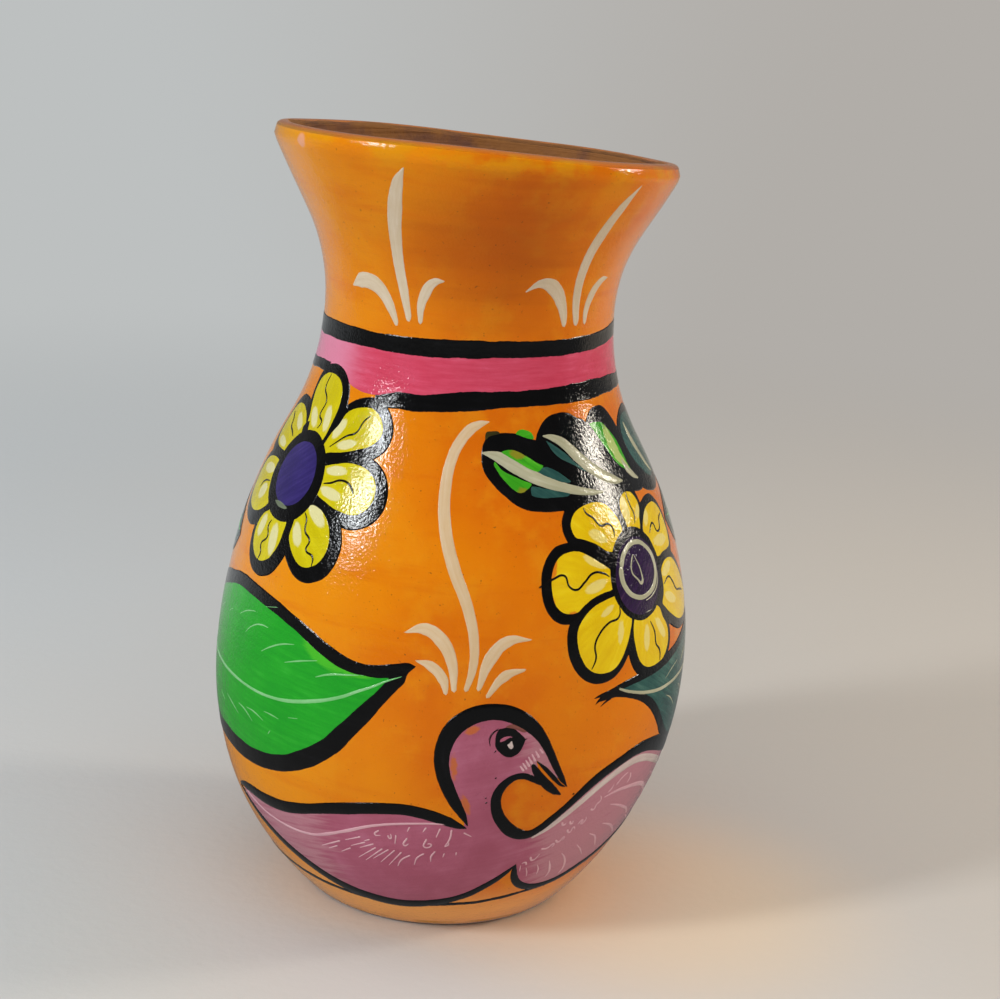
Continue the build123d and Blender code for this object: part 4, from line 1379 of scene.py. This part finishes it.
wings = {
    "whiteLine": [(31, 47, .5), (36, 49.9, 1.0), (41, 53.6, 1.2), (46, 57.4, 1.3), (51, 60.9, 1.4),
                  (56, 63.4, 1.4), (61, 65.1, 1.5), (66, 65.8, 1.5), (70, 65.5, 1.5), (76, 63.8, 1.4),
                  (82, 61.3, 1.4), (88, 58.6, 1.4), (94, 56, 1.2), (102, 53, .8), (110, 47.6, .4)],
    "curve": [(-76, 43.4, .5), (-70, 41.5, .7), (-64, 40.2, .5), (-58, 39.6, .45), (-51, 39.4, .45),
              (-45, 39.8, .5), (-40, 40.8, .5), (-35, 42.9, .6), (-31, 44.8, .5), (-26, 47.2, .6),
              (-22, 49.2, .5), (-17, 51.1, .45), (-12, 52.4, .4), (-6, 53.4, .35), (0, 53.9, .3),
              (5, 53.7, .25), (9, 53, .1)],
    "feathers": [
        [(-7.5, 52.1), (-8.3, 50)], [(-2.6, 52.4), (-3.6, 50.4)], [(1.6, 52.4), (.6, 48.7)],
        [(5, 52.1), (4.8, 48.4), (3.5, 45.4)], [(3.5, 45.4), (4.6, 46.2), (4.4, 47.6)],
        [(-17, 49.2), (-18.3, 47.2), (-16.4, 47.3)], [(-14.2, 47.9), (-13.4, 46.6), (-13.3, 48.6)],
        [(-11.6, 48.4), (-11.9, 44.7)], [(-8.1, 47.8), (-8.9, 44.6), (-7.5, 45.6)],
        [(-2.2, 48.1), (-2.5, 44.7), (-.6, 45.9), (-2, 46.1)], [(-23.1, 45.2), (-28.8, 42.4)],
        [(-30.6, 41.5), (-35, 39), (-38.8, 36.8)], [(-21.6, 43.4), (-26.9, 40.6)], [(-32, 39), (-36, 36.6)],
        [(-18.8, 43.4), (-23.8, 40.6)], [(-18.1, 42.1), (-24.7, 36.2)], [(-15.9, 42.1), (-22.2, 35.6)],
        [(-13.9, 42.1), (-19.4, 37.1)], [(-11.9, 42.2), (-16.9, 36)], [(-9.7, 41.8), (-14.1, 35.3)],
        [(-6.9, 40.9), (-9.8, 38.4), (-11.1, 35.3)], [(-2.5, 42.1), (-4.6, 40.2), (-5.6, 36.8)],
        [(.9, 43.4), (-.3, 41), (-.2, 38.7)], [(3.8, 42.8), (3.4, 40.9)], [(7.5, 43.4), (7.5, 41.8)],
        [(-20, 44.9), (-22, 43.9)], [(-27, 39.6), (-31, 36.9)], [(8.6, 51), (11.4, 49.4)],
    ],
    "squiggles": [
        [(33.4, 38.8), (34.9, 37), (36.8, 39.4)], [(36.4, 41.6), (38.7, 41.3), (41, 42.6), (40.6, 41)],
        [(41, 44.2), (42.6, 43), (44.2, 44.6), (44, 43)], [(40.9, 51.2), (42, 49.8), (42.8, 50.6)],
        [(44, 50.8), (45.3, 49.6), (45.3, 50.8)], [(44.2, 47.6), (45.9, 46), (46.6, 47.8), (47.8, 46.6)],
        [(48, 48.6), (49.6, 49.8), (49.6, 48.4), (50.9, 49.3), (50.8, 50.8)],
        [(51.4, 53.4), (53, 52.8), (53.4, 54.4), (54.8, 55.6), (54, 57.6)],
        [(57.1, 57.6), (58.6, 59), (59, 60.2)], [(66.6, 61.8), (67.4, 60), (66.4, 58.2)],
        [(60.3, 59.4), (62.5, 61.4), (65, 62.4)], [(33.2, 35.2), (32.2, 36.6), (31, 36.2)],
    ],
    "arcs": [
        [(55.9, 56.3, .15), (61.5, 56.9, .4), (67.8, 56.3, .5), (74, 55.1, .6), (80.3, 52.9, .6),
         (85.3, 49.8, .6), (90, 46, .45), (94, 41.6, .15)],
        [(60.9, 52.3, .12), (66.5, 50.1, .3), (72.1, 47.3, .4), (76.5, 44.8, .4), (79.4, 42, .15)],
        [(61.5, 44.8, .12), (66.5, 42.6, .3), (70.3, 40.4, .4), (73.4, 37.9, .3), (75.3, 36, .12)],
        [(56.5, 42.3, .12), (60.9, 39.8, .3), (63.4, 36.9, .4), (65.3, 34.1, .12)],
        [(52.4, 39.1, .1), (56.5, 35.4, .28), (59.3, 32.3, .1)],
        [(46.5, 37.3, .1), (49.6, 34.1, .3), (51.5, 31, .4), (52.1, 27.9, .35), (51.2, 26, .12)],
        [(42.4, 35.1, .1), (44.3, 31.6, .35), (45.3, 28.5, .4), (44.6, 26.3, .12)],
        [(37.8, 34.4, .1), (39.3, 31.6, .25), (39.6, 29.1, .1)],
        [(33.4, 34.1, .1), (34.9, 31, .2), (35.3, 29.1, .1)],
        [(30.9, 35.7, .1), (31.3, 33.6, .18), (31.6, 32.3, .1)],
        [(86, 55, .1), (92, 52, .35), (98, 47, .4), (101, 42.6, .12)],
        [(80, 41, .1), (84, 38.6, .3), (87, 36.6, .1)],
    ],
    "featherWidth": 0.34,
    "squiggleWidth": 0.42,
    "ragged": 0.3,
    "palerRight": (22, 44),
    "palerLeft": (-16, -46),
    "curveFatter": 1.15,
    "arcsFatter": 1.5,
}


sprigs = {
    "belly": [
        [(11.4, 170.8, .15), (7, 169.9, 1.2), (3, 168.2, 1.9), (-.6, 165, 2.1), (-3.3, 160.7, 2.2),
         (-5.1, 151.9, 2.2), (-4.3, 140.7, 2.2), (-.8, 129.4, 2.1), (3.6, 119.4, 1.8), (6.1, 109.4, 1.5),
         (6.1, 101.9, 1.25), (4.5, 95.4, .7)],
        [(-14.2, 110.6, .15), (-8.3, 112.2, 1.8), (-3.3, 109.4, 2.1), (-.1, 104, 1.7), (1.4, 95.1, .7)],
        [(-10.3, 103.2, .15), (-5.8, 102.1, 1.5), (-2, 98.5, 1.5), (-.8, 94.2, .5)],
        [(23.2, 110, .15), (16, 109.7, 1.7), (11.1, 105, 2.0), (8, 95.7, .6)],
        [(21.6, 101.7, .3), (15.5, 100, 1.6), (10.5, 93.8, .6)],
    ],
    "neckLeft": [
        [(-24.4, 244.4, .15), (-27.4, 239.4, 1.7), (-30.4, 231.5, 2.5), (-32.9, 222.4, 2.5),
         (-33.5, 213.5, 2.3), (-31.6, 205, 2), (-28.6, 196.6, 1.1)],
        [(-62.8, 203.8, .15), (-57, 205.8, 1.9), (-51, 206.2, 2.1), (-45, 204.8, 2.2), (-39.4, 200.6, 1.9),
         (-34.7, 195, .8)],
        [(-12, 209.4, .15), (-16.6, 208.8, 1.1), (-20.4, 206, 1.9), (-23, 201.6, 1.7), (-23, 196.3, .8)],
    ],
    "neckRight": [
        [(61.7, 241.4, .15), (57.4, 234.2, 1.9), (54.4, 224.4, 2.5), (53.4, 214, 2.4), (54, 205, 2.1),
         (56.4, 196.8, 1.4)],
        [(25, 207.4, .15), (31.8, 209.9, 1.1), (38, 208.9, 2), (43.6, 205.4, 2.2), (47.2, 200.8, 1.8),
         (48.8, 196.8, 1.1)],
        [(74.4, 210, .15), (69.2, 209.2, 1.2), (64.6, 205.8, 1.9), (62.2, 201, 1.6), (62.3, 196.8, .9)],
    ],
    "lift": 0.06,
    "fatter": 1.24,
    "neckLow": 195,
    "backShorter": 0.84,
    "backBelly": (230, -14, 0.62, 0.85),     # mirrored about half this place, lifted, shorter, thinner
    "backShifts": [174, 259, 344],     # the left one of the neck again, out of sight
}


# Brush strokes: one node tree lays curves drawn on the map on the wall as thin films of paint

brushWork = {
    "step": 0.55,
    "lift": 0.3,
    "sink": 0.03,
    "ragged": 0.12,
    "sides": 12,
    "width": 0.3,           # half the width of a line drawn without widths
    "vein": 0.44,
    "guideFrom": -175,      # the piece of the map that strokes may lie on
    "guideTo": 350,
    "guideLow": 8,
    "guideHigh": 247,
    "guideStep": 1.5,
    "unrolledTo": 600,      # the sampled map has to fit between 0 and 1
}


def addGuide():     # the wall unrolled, with its place on the map as its UV
    a = np.arange(brushWork["guideFrom"], brushWork["guideTo"] + 1, brushWork["guideStep"])
    s = np.arange(brushWork["guideLow"], brushWork["guideHigh"], brushWork["guideStep"])
    gridA, gridS = np.meshgrid(a, s)
    points = skin(gridA / shape["mapRadius"], mapHeight(gridS)).reshape(-1, 3)
    faces = [(i * len(a) + j, i * len(a) + j + 1, (i + 1) * len(a) + j + 1, (i + 1) * len(a) + j)
             for i in range(len(s) - 1) for j in range(len(a) - 1)]
    unrolled = np.stack([gridA.ravel(), gridS.ravel()], -1) / brushWork["unrolledTo"]
    mesh = plainMesh(points, faces, brush=unrolled)
    guide = bpy.data.objects.new("unrolledWall", mesh)
    scene.collection.objects.link(guide)
    return guide


def brushTree():
    tree = bpy.data.node_groups.new("brushStrokes", "GeometryNodeTree")
    kinds = {"Lines": "Object", "Guide": "Object", "Step": "Float", "Lift": "Float", "Sink": "Float",
             "Ragged": "Float", "Seed": "Float", "Sides": "Int", "Paint": "Material"}
    tree.interface.new_socket("Geometry", in_out="INPUT", socket_type="NodeSocketGeometry")
    tree.interface.new_socket("Geometry", in_out="OUTPUT", socket_type="NodeSocketGeometry")
    for name, kind in kinds.items():
        tree.interface.new_socket(name, in_out="INPUT", socket_type="NodeSocket" + kind)
    bench = Bench(tree)
    given = tree.nodes.new("NodeGroupInput")
    value = {name: Wire(tree, given.outputs[name]) for name in kinds}

    def store(geometry, name, field, kind="FLOAT", domain="POINT"):
        sockets = {"Geometry": geometry, "Name": name, "Value": field}
        return bench.add("GeometryNodeStoreNamedAttribute", {"data_type": kind, "domain": domain}, sockets)

    def named(name, kind="FLOAT"):
        return bench.add("GeometryNodeInputNamedAttribute", {"data_type": kind}, {"Name": name})

    def vector(operation, first, second=None, scale=None):
        sockets = {0: first}
        if second is not None:
            sockets[1] = second
        if scale is not None:
            sockets["Scale"] = scale
        return bench.add("ShaderNodeVectorMath", {"operation": operation}, sockets)

    lines = bench.add("GeometryNodeObjectInfo", None, {"Object": value["Lines"]}, "Geometry")
    wall = bench.add("GeometryNodeObjectInfo", None, {"Object": value["Guide"]}, "Geometry")
    steps = {"Curve": lines, "Length": value["Step"]}
    lines = bench.add("GeometryNodeResampleCurve", {"mode": "LENGTH"}, steps)
    position = bench.add("GeometryNodeInputPosition")
    along = bench.add("GeometryNodeSplineParameter", out="Length")
    total = bench.add("GeometryNodeSplineLength")
    half = bench.add("GeometryNodeInputRadius")
    fromEnd = (along.least(total - along) / half.most(0.05)).least(1.0).most(0.0)
    rounded = (fromEnd * (2 - fromEnd)) ** 0.5
    lines = store(lines, "middle", position, "FLOAT_VECTOR")
    lines = store(lines, "course", bench.add("GeometryNodeInputTangent"), "FLOAT_VECTOR")
    lines = store(lines, "halfWidth", half * rounded.most(0.03))
    lines = store(lines, "length", along)
    sides = {"Resolution": value["Sides"], "Radius": 1.0}
    ring = bench.add("GeometryNodeCurvePrimitiveCircle", {"mode": "RADIUS"}, sides)
    parts = bench.add("ShaderNodeSeparateXYZ", None, {"Vector": position})
    upper = parts.beside("Y")
    ring = store(ring, "across", parts)
    ring = store(ring, "upper", upper.sums("GREATER_THAN", upper, 0.01))
    body = bench.add("GeometryNodeCurveToMesh", None,
                     {"Curve": lines, "Profile Curve": ring, "Scale": 0.2, "Fill Caps": True})
    course = bench.add("ShaderNodeSeparateXYZ", None, {"Vector": named("course", "FLOAT_VECTOR")})
    side = bench.add("ShaderNodeCombineXYZ", None, {"X": 0 - course.beside("Y"), "Y": course})
    side = vector("NORMALIZE", side)
    across, width = named("across"), named("halfWidth")
    spot = vector("ADD", named("middle", "FLOAT_VECTOR"), vector("SCALE", side, scale=across * width))
    rough = bench.add("ShaderNodeTexNoise", {"noise_dimensions": "4D"},
                      {"Vector": spot, "W": value["Seed"], "Scale": 0.8, "Detail": 2.0})
    reach = across * (width + (rough - 0.5) * value["Ragged"] * width.least(1.0) * 2)
    spot = vector("ADD", named("middle", "FLOAT_VECTOR"), vector("SCALE", side, scale=reach))
    crown = 1 - across.sums("ABSOLUTE", across) ** 6
    thin = (width / 0.35).least(1.0) * 0.35 + 0.65
    height = named("upper") * (crown * value["Lift"] * thin + value["Sink"]) - value["Sink"]
    unrolled = named("brush", "FLOAT_VECTOR")
    unrolledSpot = vector("SCALE", spot, scale=1 / brushWork["unrolledTo"])

    def onWall(field):
        sockets = {"Mesh": wall, "Value": field, "Source UV Map": unrolled, "Sample UV": unrolledSpot}
        node = tree.nodes.new("GeometryNodeSampleUVSurface")
        node.data_type = "FLOAT_VECTOR"
        for name, what in sockets.items():
            join(tree, what, next(s for s in node.inputs if name in (s.name, s.identifier) and s.enabled))
        return Wire(tree, node.outputs[0])

    raised = vector("SCALE", onWall(bench.add("GeometryNodeInputNormal")), scale=height * mm)
    placed = vector("ADD", onWall(position), raised)
    body = bench.add("GeometryNodeSetPosition", None, {"Geometry": body, "Position": placed})
    body = bench.add("GeometryNodeSetShadeSmooth", None, {"Geometry": body})
    strokes = bench.add("ShaderNodeCombineXYZ", None, {"X": named("length"), "Y": reach})
    body = store(body, "brush", strokes, "FLOAT2", "CORNER")
    for name in ("middle", "course", "halfWidth", "length", "across", "upper"):
        body = bench.add("GeometryNodeRemoveAttribute", None, {"Geometry": body, "Name": name})
    body = bench.add("GeometryNodeRealizeInstances", None, {"Geometry": body})
    body = bench.add("GeometryNodeSetMaterial", None, {"Geometry": body, "Material": value["Paint"]})
    bench.add("NodeGroupOutput", None, {"Geometry": body})
    return tree


strokeTree = brushTree()
guide = addGuide()


def addStrokes(name, lines, coat, lift=brushWork["lift"], width=brushWork["width"], seed=1.0,
               ragged=brushWork["ragged"], step=brushWork["step"]):
    drawing = bpy.data.curves.new(name + "Lines", "CURVE")
    drawing.dimensions = "3D"
    drawing.resolution_u = 8
    for line in lines:
        points = [tuple(p) if len(p) == 3 else (*p, None) for p in line]
        spline = drawing.splines.new("BEZIER")
        spline.bezier_points.add(len(points) - 1)
        for n, (knot, (a, s, half)) in enumerate(zip(spline.bezier_points, points)):
            knot.co = (a, s, 0)
            knot.handle_left_type = knot.handle_right_type = "AUTO"
            if half is None:
                half = width * (0.5 if n == len(points) - 1 else 1.0)
            knot.radius = half
    drawn = bpy.data.objects.new(name + "Lines", drawing)
    scene.collection.objects.link(drawn)
    host = bpy.data.objects.new(name + "Host", bpy.data.meshes.new(name + "Host"))
    scene.collection.objects.link(host)
    modifier = host.modifiers.new("brush", "NODES")
    modifier.node_group = strokeTree
    keys = {item.name: item.identifier for item in strokeTree.interface.items_tree
            if item.item_type == "SOCKET" and item.in_out == "INPUT"}
    settings = {"Lines": drawn, "Guide": guide, "Step": step, "Lift": lift, "Sink": brushWork["sink"],
                "Ragged": ragged, "Seed": seed, "Sides": brushWork["sides"], "Paint": coats[coat][0]}
    for key, setting in settings.items():
        modifier[keys[key]] = setting
    depsgraph = bpy.context.evaluated_depsgraph_get()
    mesh = bpy.data.meshes.new_from_object(host.evaluated_get(depsgraph), preserve_all_data_layers=True,
                                           depsgraph=depsgraph)
    for extra in (host, drawn):
        bpy.data.objects.remove(extra)
    return addPiece(name, mesh, coat)


noDabs = {"tint": lambda a, s: 0.0, "pale": lambda a, s: 0.0}


def paintFlowers():
    addFlower("leftFlower", leftFlower, smoothPaths(leftFlower["petals"]), "yellow", seed=3.0)
    addFilm("leftFlowerGlint", [smoothPath(leftFlower["crescent"], 0.5)], "olive", 0.29, straight(0),
            seed=9.0)
    addFlower("rightFlower", rightFlower, smoothPaths(rightFlower["petals"]), "warmYellow",
              smoothPaths(topLeaves["edges"]), seed=13.0, heartCoat="darkViolet")
    petals, backFlower["pale"], veins = petalRound(backFlower)
    addFlower("backFlower", backFlower, petals, "warmYellow", seed=23.0)
    fine = [[(a, s, brushWork["vein"] * (1 if 0 < n < len(line) - 1 else 0.5))
             for n, (a, s) in enumerate(line)]
            for line in leftFlower["veins"] + rightFlower["veins"] + veins]
    addStrokes("petalVeins", fine, "black", lift=0.31, seed=2.0, step=0.4)
    addStrokes("rightFlowerRing", rightFlower["ring"], "greyCream", lift=0.34, seed=5.0)
    a, s, across, upward, half = backFlower["ring"]
    ring = [(a + across * cos(t), s + upward * sin(t), half) for t in np.linspace(0.3, 6.4, 14)]
    addStrokes("backFlowerRing", [ring], "greyCream", lift=0.34, seed=6.0)
    addFilm("rightFlowerGlint", [smoothPath(rightFlower["glint"], 0.5)], "greyCream", 0.3, straight(0),
            seed=10.0)


def paintLeaves():
    addFilm("greenLeafOutline", [smoothPath(greenLeaf["edge"])], "black", 0.16, straight(0), seed=31.0)
    addFilm("greenLeaf", [smoothPath(greenLeaf["fill"])], "green", 0.21, straight(-4),
            {"tint": patches(greenLeaf["glow"])}, seed=32.0)
    addFilm("tealLeafOutline", [smoothPath(tealLeaf["edge"])], "black", 0.15, straight(0), seed=33.0)
    addStrokes("tealLeafBristles", tealLeaf["bristles"], "black", lift=0.12, seed=19.0, step=0.35)
    addFilm("tealLeaf", [smoothPath(tealLeaf["fill"])], "teal", 0.2, straight(-30), seed=34.0)
    addStrokes("leafRibs", greenLeaf["ribs"], "leafLight", lift=0.26, seed=7.0)
    addStrokes("tealLeafRibs", tealLeaf["ribs"], "greyCream", lift=0.26, seed=7.5)
    dabs = {"tint": patches(topLeaves["olive"]), "pale": patches(topLeaves["paleGreen"])}
    addFilm("topLeavesGreen", smoothPaths(topLeaves["greens"]), "brightGreen", 0.22, straight(-30), dabs,
            spacing=1.2, seed=35.0)
    addFilm("topLeavesTeal", smoothPaths(topLeaves["teals"]), "teal", 0.21, straight(-30), seed=36.0)
    smudge, oliveSmudge = smoothPaths(topLeaves["smudges"], 0.5)
    addFilm("topLeavesSmudge", [smudge], "brightGreen", 0.1, straight(10), noDabs, seed=37.0)
    addFilm("topLeavesOlive", [oliveSmudge], "darkOlive", 0.1, straight(10), seed=30.0)
    addStrokes("topLeavesStripes", topLeaves["stripes"], "greyCream", lift=0.32, seed=8.0)
    paintBackLeaves()


def paintBackLeaves():
    outlines = smoothPaths(backLeaves["edges"])
    addFilm("backLeavesOutline", outlines, "black", 0.15, straight(0), joined=True, seed=38.0)
    for paint, coat in (("teal", "teal"), ("green", "green"), ("bright", "brightGreen")):
        fills = [grown(outline, -backLeaves["border"], 0, 0)
                 for outline, its in zip(outlines, backLeaves["paints"]) if its == paint]
        fills = [loop for fill in fills for loop in merged([fill])]
        addFilm("backLeaves" + paint.capitalize(), fills, coat, 0.21, straight(-20), seed=39.0 + len(paint))
    addStrokes("backLeafRibs", backLeaves["ribs"], "leafLight", lift=0.3, seed=9.0)


def palerWing(a, s):     # towards the right wing's end, and on the left wing
    right = smoothStep(*wings["palerRight"], a + (s - 40) * 0.3) * 0.75
    return float(right + smoothStep(*wings["palerLeft"], a) * 0.6)


def paintBird():
    marks = {"tint": patches(bird["orangeShows"]), "pale": palerWing}
    addFilm("birdBody", [smoothPath(bird["fill"])], "mauve", 0.1, straight(12), marks, spacing=1.4, seed=51.0)
    fatter = [[(a, s, half + bird["fatter"] * min(1, half)) for a, s, half in line] for line in bird["lines"]]
    addStrokes("birdLines", fatter, "black", lift=0.24, seed=11.0)
    addFilm("birdEye", [smoothPath(bird["eye"], 0.5)], "black", 0.21, straight(40), seed=52.0)
    addStrokes("birdEyeStrokes", bird["eyeStrokes"], "black", lift=0.2, seed=12.0, step=0.3)
    pinkShine, whiteShine = smoothPaths(bird["eyeShine"], 0.4)
    addFilm("birdEyePink", [pinkShine], "mauve", 0.25, straight(0), noDabs, seed=53.0)
    addFilm("birdEyeShine", [whiteShine], "wingWhite", 0.27, straight(0), seed=54.0)
    addFilm("birdEyeSmear", [smoothPath(bird["smear"], 0.5)], "smear", 0.13, straight(-20), seed=56.0)
    longer = bird["ticksLonger"]
    ticks = [[(a, s), (a + (b - a) * longer, s + (t - s) * longer)] for (a, s), (b, t) in bird["ticks"]]
    addStrokes("beakTicks", ticks, "wingLight", lift=0.2, width=bird["tickWidth"], seed=13.0,
               step=0.3)
    specks = [[(a - r, s - r, r), (a + r, s + r * 0.6, r * 1.3)] for a, s, r in bird["specks"]]
    addStrokes("paintSpecks", specks, "black", lift=0.2, seed=19.0, step=0.3)
    addStrokes("wingWhiteLine", [wings["whiteLine"]], "wingWhite", lift=0.2, seed=14.0)
    curves = [(wings["curve"], wings["curveFatter"])] + [(arc, wings["arcsFatter"]) for arc in wings["arcs"]]
    lines = [[(a, s, half * fatter) for a, s, half in line] for line, fatter in curves]
    addStrokes("wingCurves", lines, "wingLight", lift=0.2, seed=15.0)
    addStrokes("wingFeathers", wings["feathers"], "wingLight", lift=0.2, width=wings["featherWidth"],
               seed=16.0, step=0.35, ragged=wings["ragged"])
    addStrokes("wingSquiggles", wings["squiggles"], "wingLight", lift=0.2, width=wings["squiggleWidth"],
               seed=20.0, step=0.35, ragged=wings["ragged"])


def paintSprigs():
    neck = [[(a, s, half * sprigs["fatter"]) for a, s, half in line]
            for line in sprigs["neckLeft"] + sprigs["neckRight"]]
    low, shorter = sprigs["neckLow"], sprigs["backShorter"]
    for shift in sprigs["backShifts"]:
        neck += [[(a + shift, low + (s - low) * shorter, half) for a, s, half in line]
                 for line in sprigs["neckLeft"]]
    addStrokes("neckSprigs", neck, "cream", lift=sprigs["lift"], seed=17.0)
    across, up, length, thinner = sprigs["backBelly"]
    belly = sprigs["belly"] + [[(across - a, s * length + up, half * thinner) for a, s, half in line]
                               for line in sprigs["belly"]]
    addStrokes("bellySprigs", belly, "warmCream", lift=sprigs["lift"], seed=18.0)


paintFlowers()
print("flowers painted")
paintLeaves()
print("leaves painted")
paintBird()
print("bird painted")
paintSprigs()
bpy.data.objects.remove(guide)
print("sprigs painted")


# Floor, lamps and camera

studio = {
    "floorSides": 64,
    "floorRadius": 25.0,
    "floorHeight": -0.0002,
    "floor": [colour(198, 203, 206), colour(204, 196, 186)],     # painted light: cooler on the left, warmer on the right
    # painted shade: the backdrop is darker and warmer on the right
    "background": [colour(189, 192, 192), colour(177, 173, 168)],
    "floorMirrored": 0.16,
    "sunlit": colour(213, 209, 204),     # the floor in front of the pot
    "sunlitSpot": (0.04, -0.15, 0.0),
    "orangeBounceLight": colour(230, 208, 178),     # painted bounce light: the pot's orange on the floor beside it
    "orangeBounceLightSpot": (0.07, -0.02, 0.0),
    "worldLight": 0.44,
    "mirrored": 0.07,      # what the varnish sees of the dim room in front
    "mirroredBehind": 0.21,
    "lamps": [     # name, degrees round from the front and up, distance, width, height, watts, colour
        ("windowLeft", -59, 27, 1.5, 0.17, 0.5, 11.5, (0.93, 0.97, 1.0)),
        ("windowRight", 98, 20, 1.5, 0.23, 0.32, 8, (1.0, 0.92, 0.8)),
        ("lowWarm", 25, 7, 1.6, 2.4, 0.36, 3.2, (1.0, 0.86, 0.68)),
        ("overhead", 0, 74, 1.6, 1.5, 1.5, 7.5, (1.0, 0.99, 0.97)),
    ],
    "unmirrored": ["lowWarm", "overhead"],     # soft fill, with no spot of its own in the varnish
    "aim": (0, 0, 0.12),
}

camera = {
    "lens": 72.0,
    "sensor": 36.0,
    "place": (0.0, -0.5856, 0.2915),
    "down": 16.11,
    "turn": 1.24,
    "roll": 4.01,
}


def grey(strength):
    return (strength,) * 3 + (1.0,)


def floorMaterial():
    material, bench = newMaterial("paleFloor")
    spot = bench.place()
    across = bench.add("ShaderNodeSeparateXYZ", None, {"Vector": spot})
    soft = bench.grain(spot, 3.0, 3.0) * 0.3
    # painted light: the floor is cooler on the left and warmer on the right
    base = bench.blend(bench.between(across + soft, -0.15, 0.4), *studio["floor"])
    away = bench.awayFrom(spot, studio["sunlitSpot"])
    base = bench.blend(bench.between(away + soft * 0.15, 0.24, 0.05), base, studio["sunlit"])
    # painted bounce light from the pot on the floor beside it
    away = bench.awayFrom(spot, studio["orangeBounceLightSpot"])
    base = bench.blend(bench.between(away, 0.09, 0.02) * 0.8, base, studio["orangeBounceLight"])
    sockets = {"Strength": 0.15, "Distance": 0.001, "Height": bench.grain(spot, 260, 4.0)}
    bump = bench.add("ShaderNodeBump", None, sockets)
    sockets = {"Base Color": base, "Roughness": 0.55, "Normal": bump}
    shader = bench.add("ShaderNodeBsdfPrincipled", None, sockets)
    away = bench.add("ShaderNodeVectorMath", {"operation": "LENGTH"}, {0: spot}, "Value")
    rays = bench.add("ShaderNodeLightPath", out="Is Camera Ray")
    seen = rays * bench.between(away, 0.3, 0.95)
    # painted shade: the backdrop is darker and warmer on the right
    backdrop = bench.blend(bench.between(across / away, -0.22, 0.22), *studio["background"])
    wall = bench.add("ShaderNodeEmission", None, {"Color": backdrop, "Strength": 1.0})
    dim = bench.add("ShaderNodeEmission", None, {"Color": grey(studio["floorMirrored"]), "Strength": 1.0})
    mirrored = rays.beside("Is Glossy Ray") * bench.between(across.beside("Y"), 0.35, 0.05)
    shader = bench.add("ShaderNodeMixShader", None, {0: mirrored, 1: shader, 2: dim})
    shader = bench.add("ShaderNodeMixShader", None, {0: seen, 1: shader, 2: wall})
    bench.add("ShaderNodeOutputMaterial", None, {"Surface": shader})
    return material


def lightRoom():
    world = bpy.data.worlds.new("studio")
    scene.world = world
    world.use_nodes = True
    world.node_tree.nodes.clear()
    bench = Bench(world.node_tree)
    rays = bench.add("ShaderNodeLightPath", out="Is Camera Ray")
    seen = rays.most(rays.beside("Is Transmission Ray"))
    way = bench.add("ShaderNodeTexCoord", out="Generated")
    way = bench.add("ShaderNodeSeparateXYZ", None, {"Vector": way})
    behind = bench.between(way.beside("Y"), 0.1, 0.6)
    room = bench.blend(behind, grey(studio["mirrored"]), grey(studio["mirroredBehind"]))
    lit = bench.blend(rays.beside("Is Glossy Ray"), grey(studio["worldLight"]), room)
    lit = bench.blend(seen, lit, studio["background"][0])
    light = bench.add("ShaderNodeBackground", None, {"Color": lit, "Strength": 1.0})
    bench.add("ShaderNodeOutputWorld", None, {"Surface": light})


def buildStudio():
    mesh = bpy.data.meshes.new("floor")
    turns = [2 * pi * k / studio["floorSides"] for k in range(studio["floorSides"])]
    radius = studio["floorRadius"]
    ring = [(radius * cos(turn), radius * sin(turn), studio["floorHeight"]) for turn in turns]
    mesh.from_pydata(ring, [], [list(range(len(ring)))])
    mesh.materials.append(floorMaterial())
    floor = bpy.data.objects.new("floor", mesh)
    scene.collection.objects.link(floor)
    lightRoom()
    aim = Vector(studio["aim"])
    for name, turn, rise, away, width, height, watts, tone in studio["lamps"]:
        lamp = bpy.data.lights.new(name, "AREA")
        lamp.shape = "RECTANGLE"
        lamp.size, lamp.size_y = width, height
        lamp.energy = watts
        lamp.color = tone
        holder = bpy.data.objects.new(name, lamp)
        t, e = radians(turn), radians(rise)
        way = Vector((sin(t) * cos(e), -cos(t) * cos(e), sin(e)))
        holder.location = aim + way * away
        holder.rotation_euler = way.to_track_quat("Z", "Y").to_euler()
        holder.visible_glossy = name not in studio["unmirrored"]
        scene.collection.objects.link(holder)


def placeCamera():
    down, turn, roll = (radians(camera[key]) for key in ("down", "turn", "roll"))
    ahead = Vector((sin(turn) * cos(down), cos(turn) * cos(down), -sin(down)))
    right = Vector((cos(turn), -sin(turn), 0))
    up = right.cross(ahead)
    x = right * cos(roll) + up * sin(roll)
    y = up * cos(roll) - right * sin(roll)
    eye = bpy.data.objects.new("camera", bpy.data.cameras.new("camera"))
    eye.data.lens = camera["lens"]
    eye.data.sensor_width = camera["sensor"]
    eye.data.sensor_fit = "HORIZONTAL"
    eye.matrix_world = Matrix((x, y, -ahead)).transposed().to_4x4()
    eye.location = camera["place"]
    scene.collection.objects.link(eye)
    scene.camera = eye


buildStudio()
placeCamera()
print("studio set")
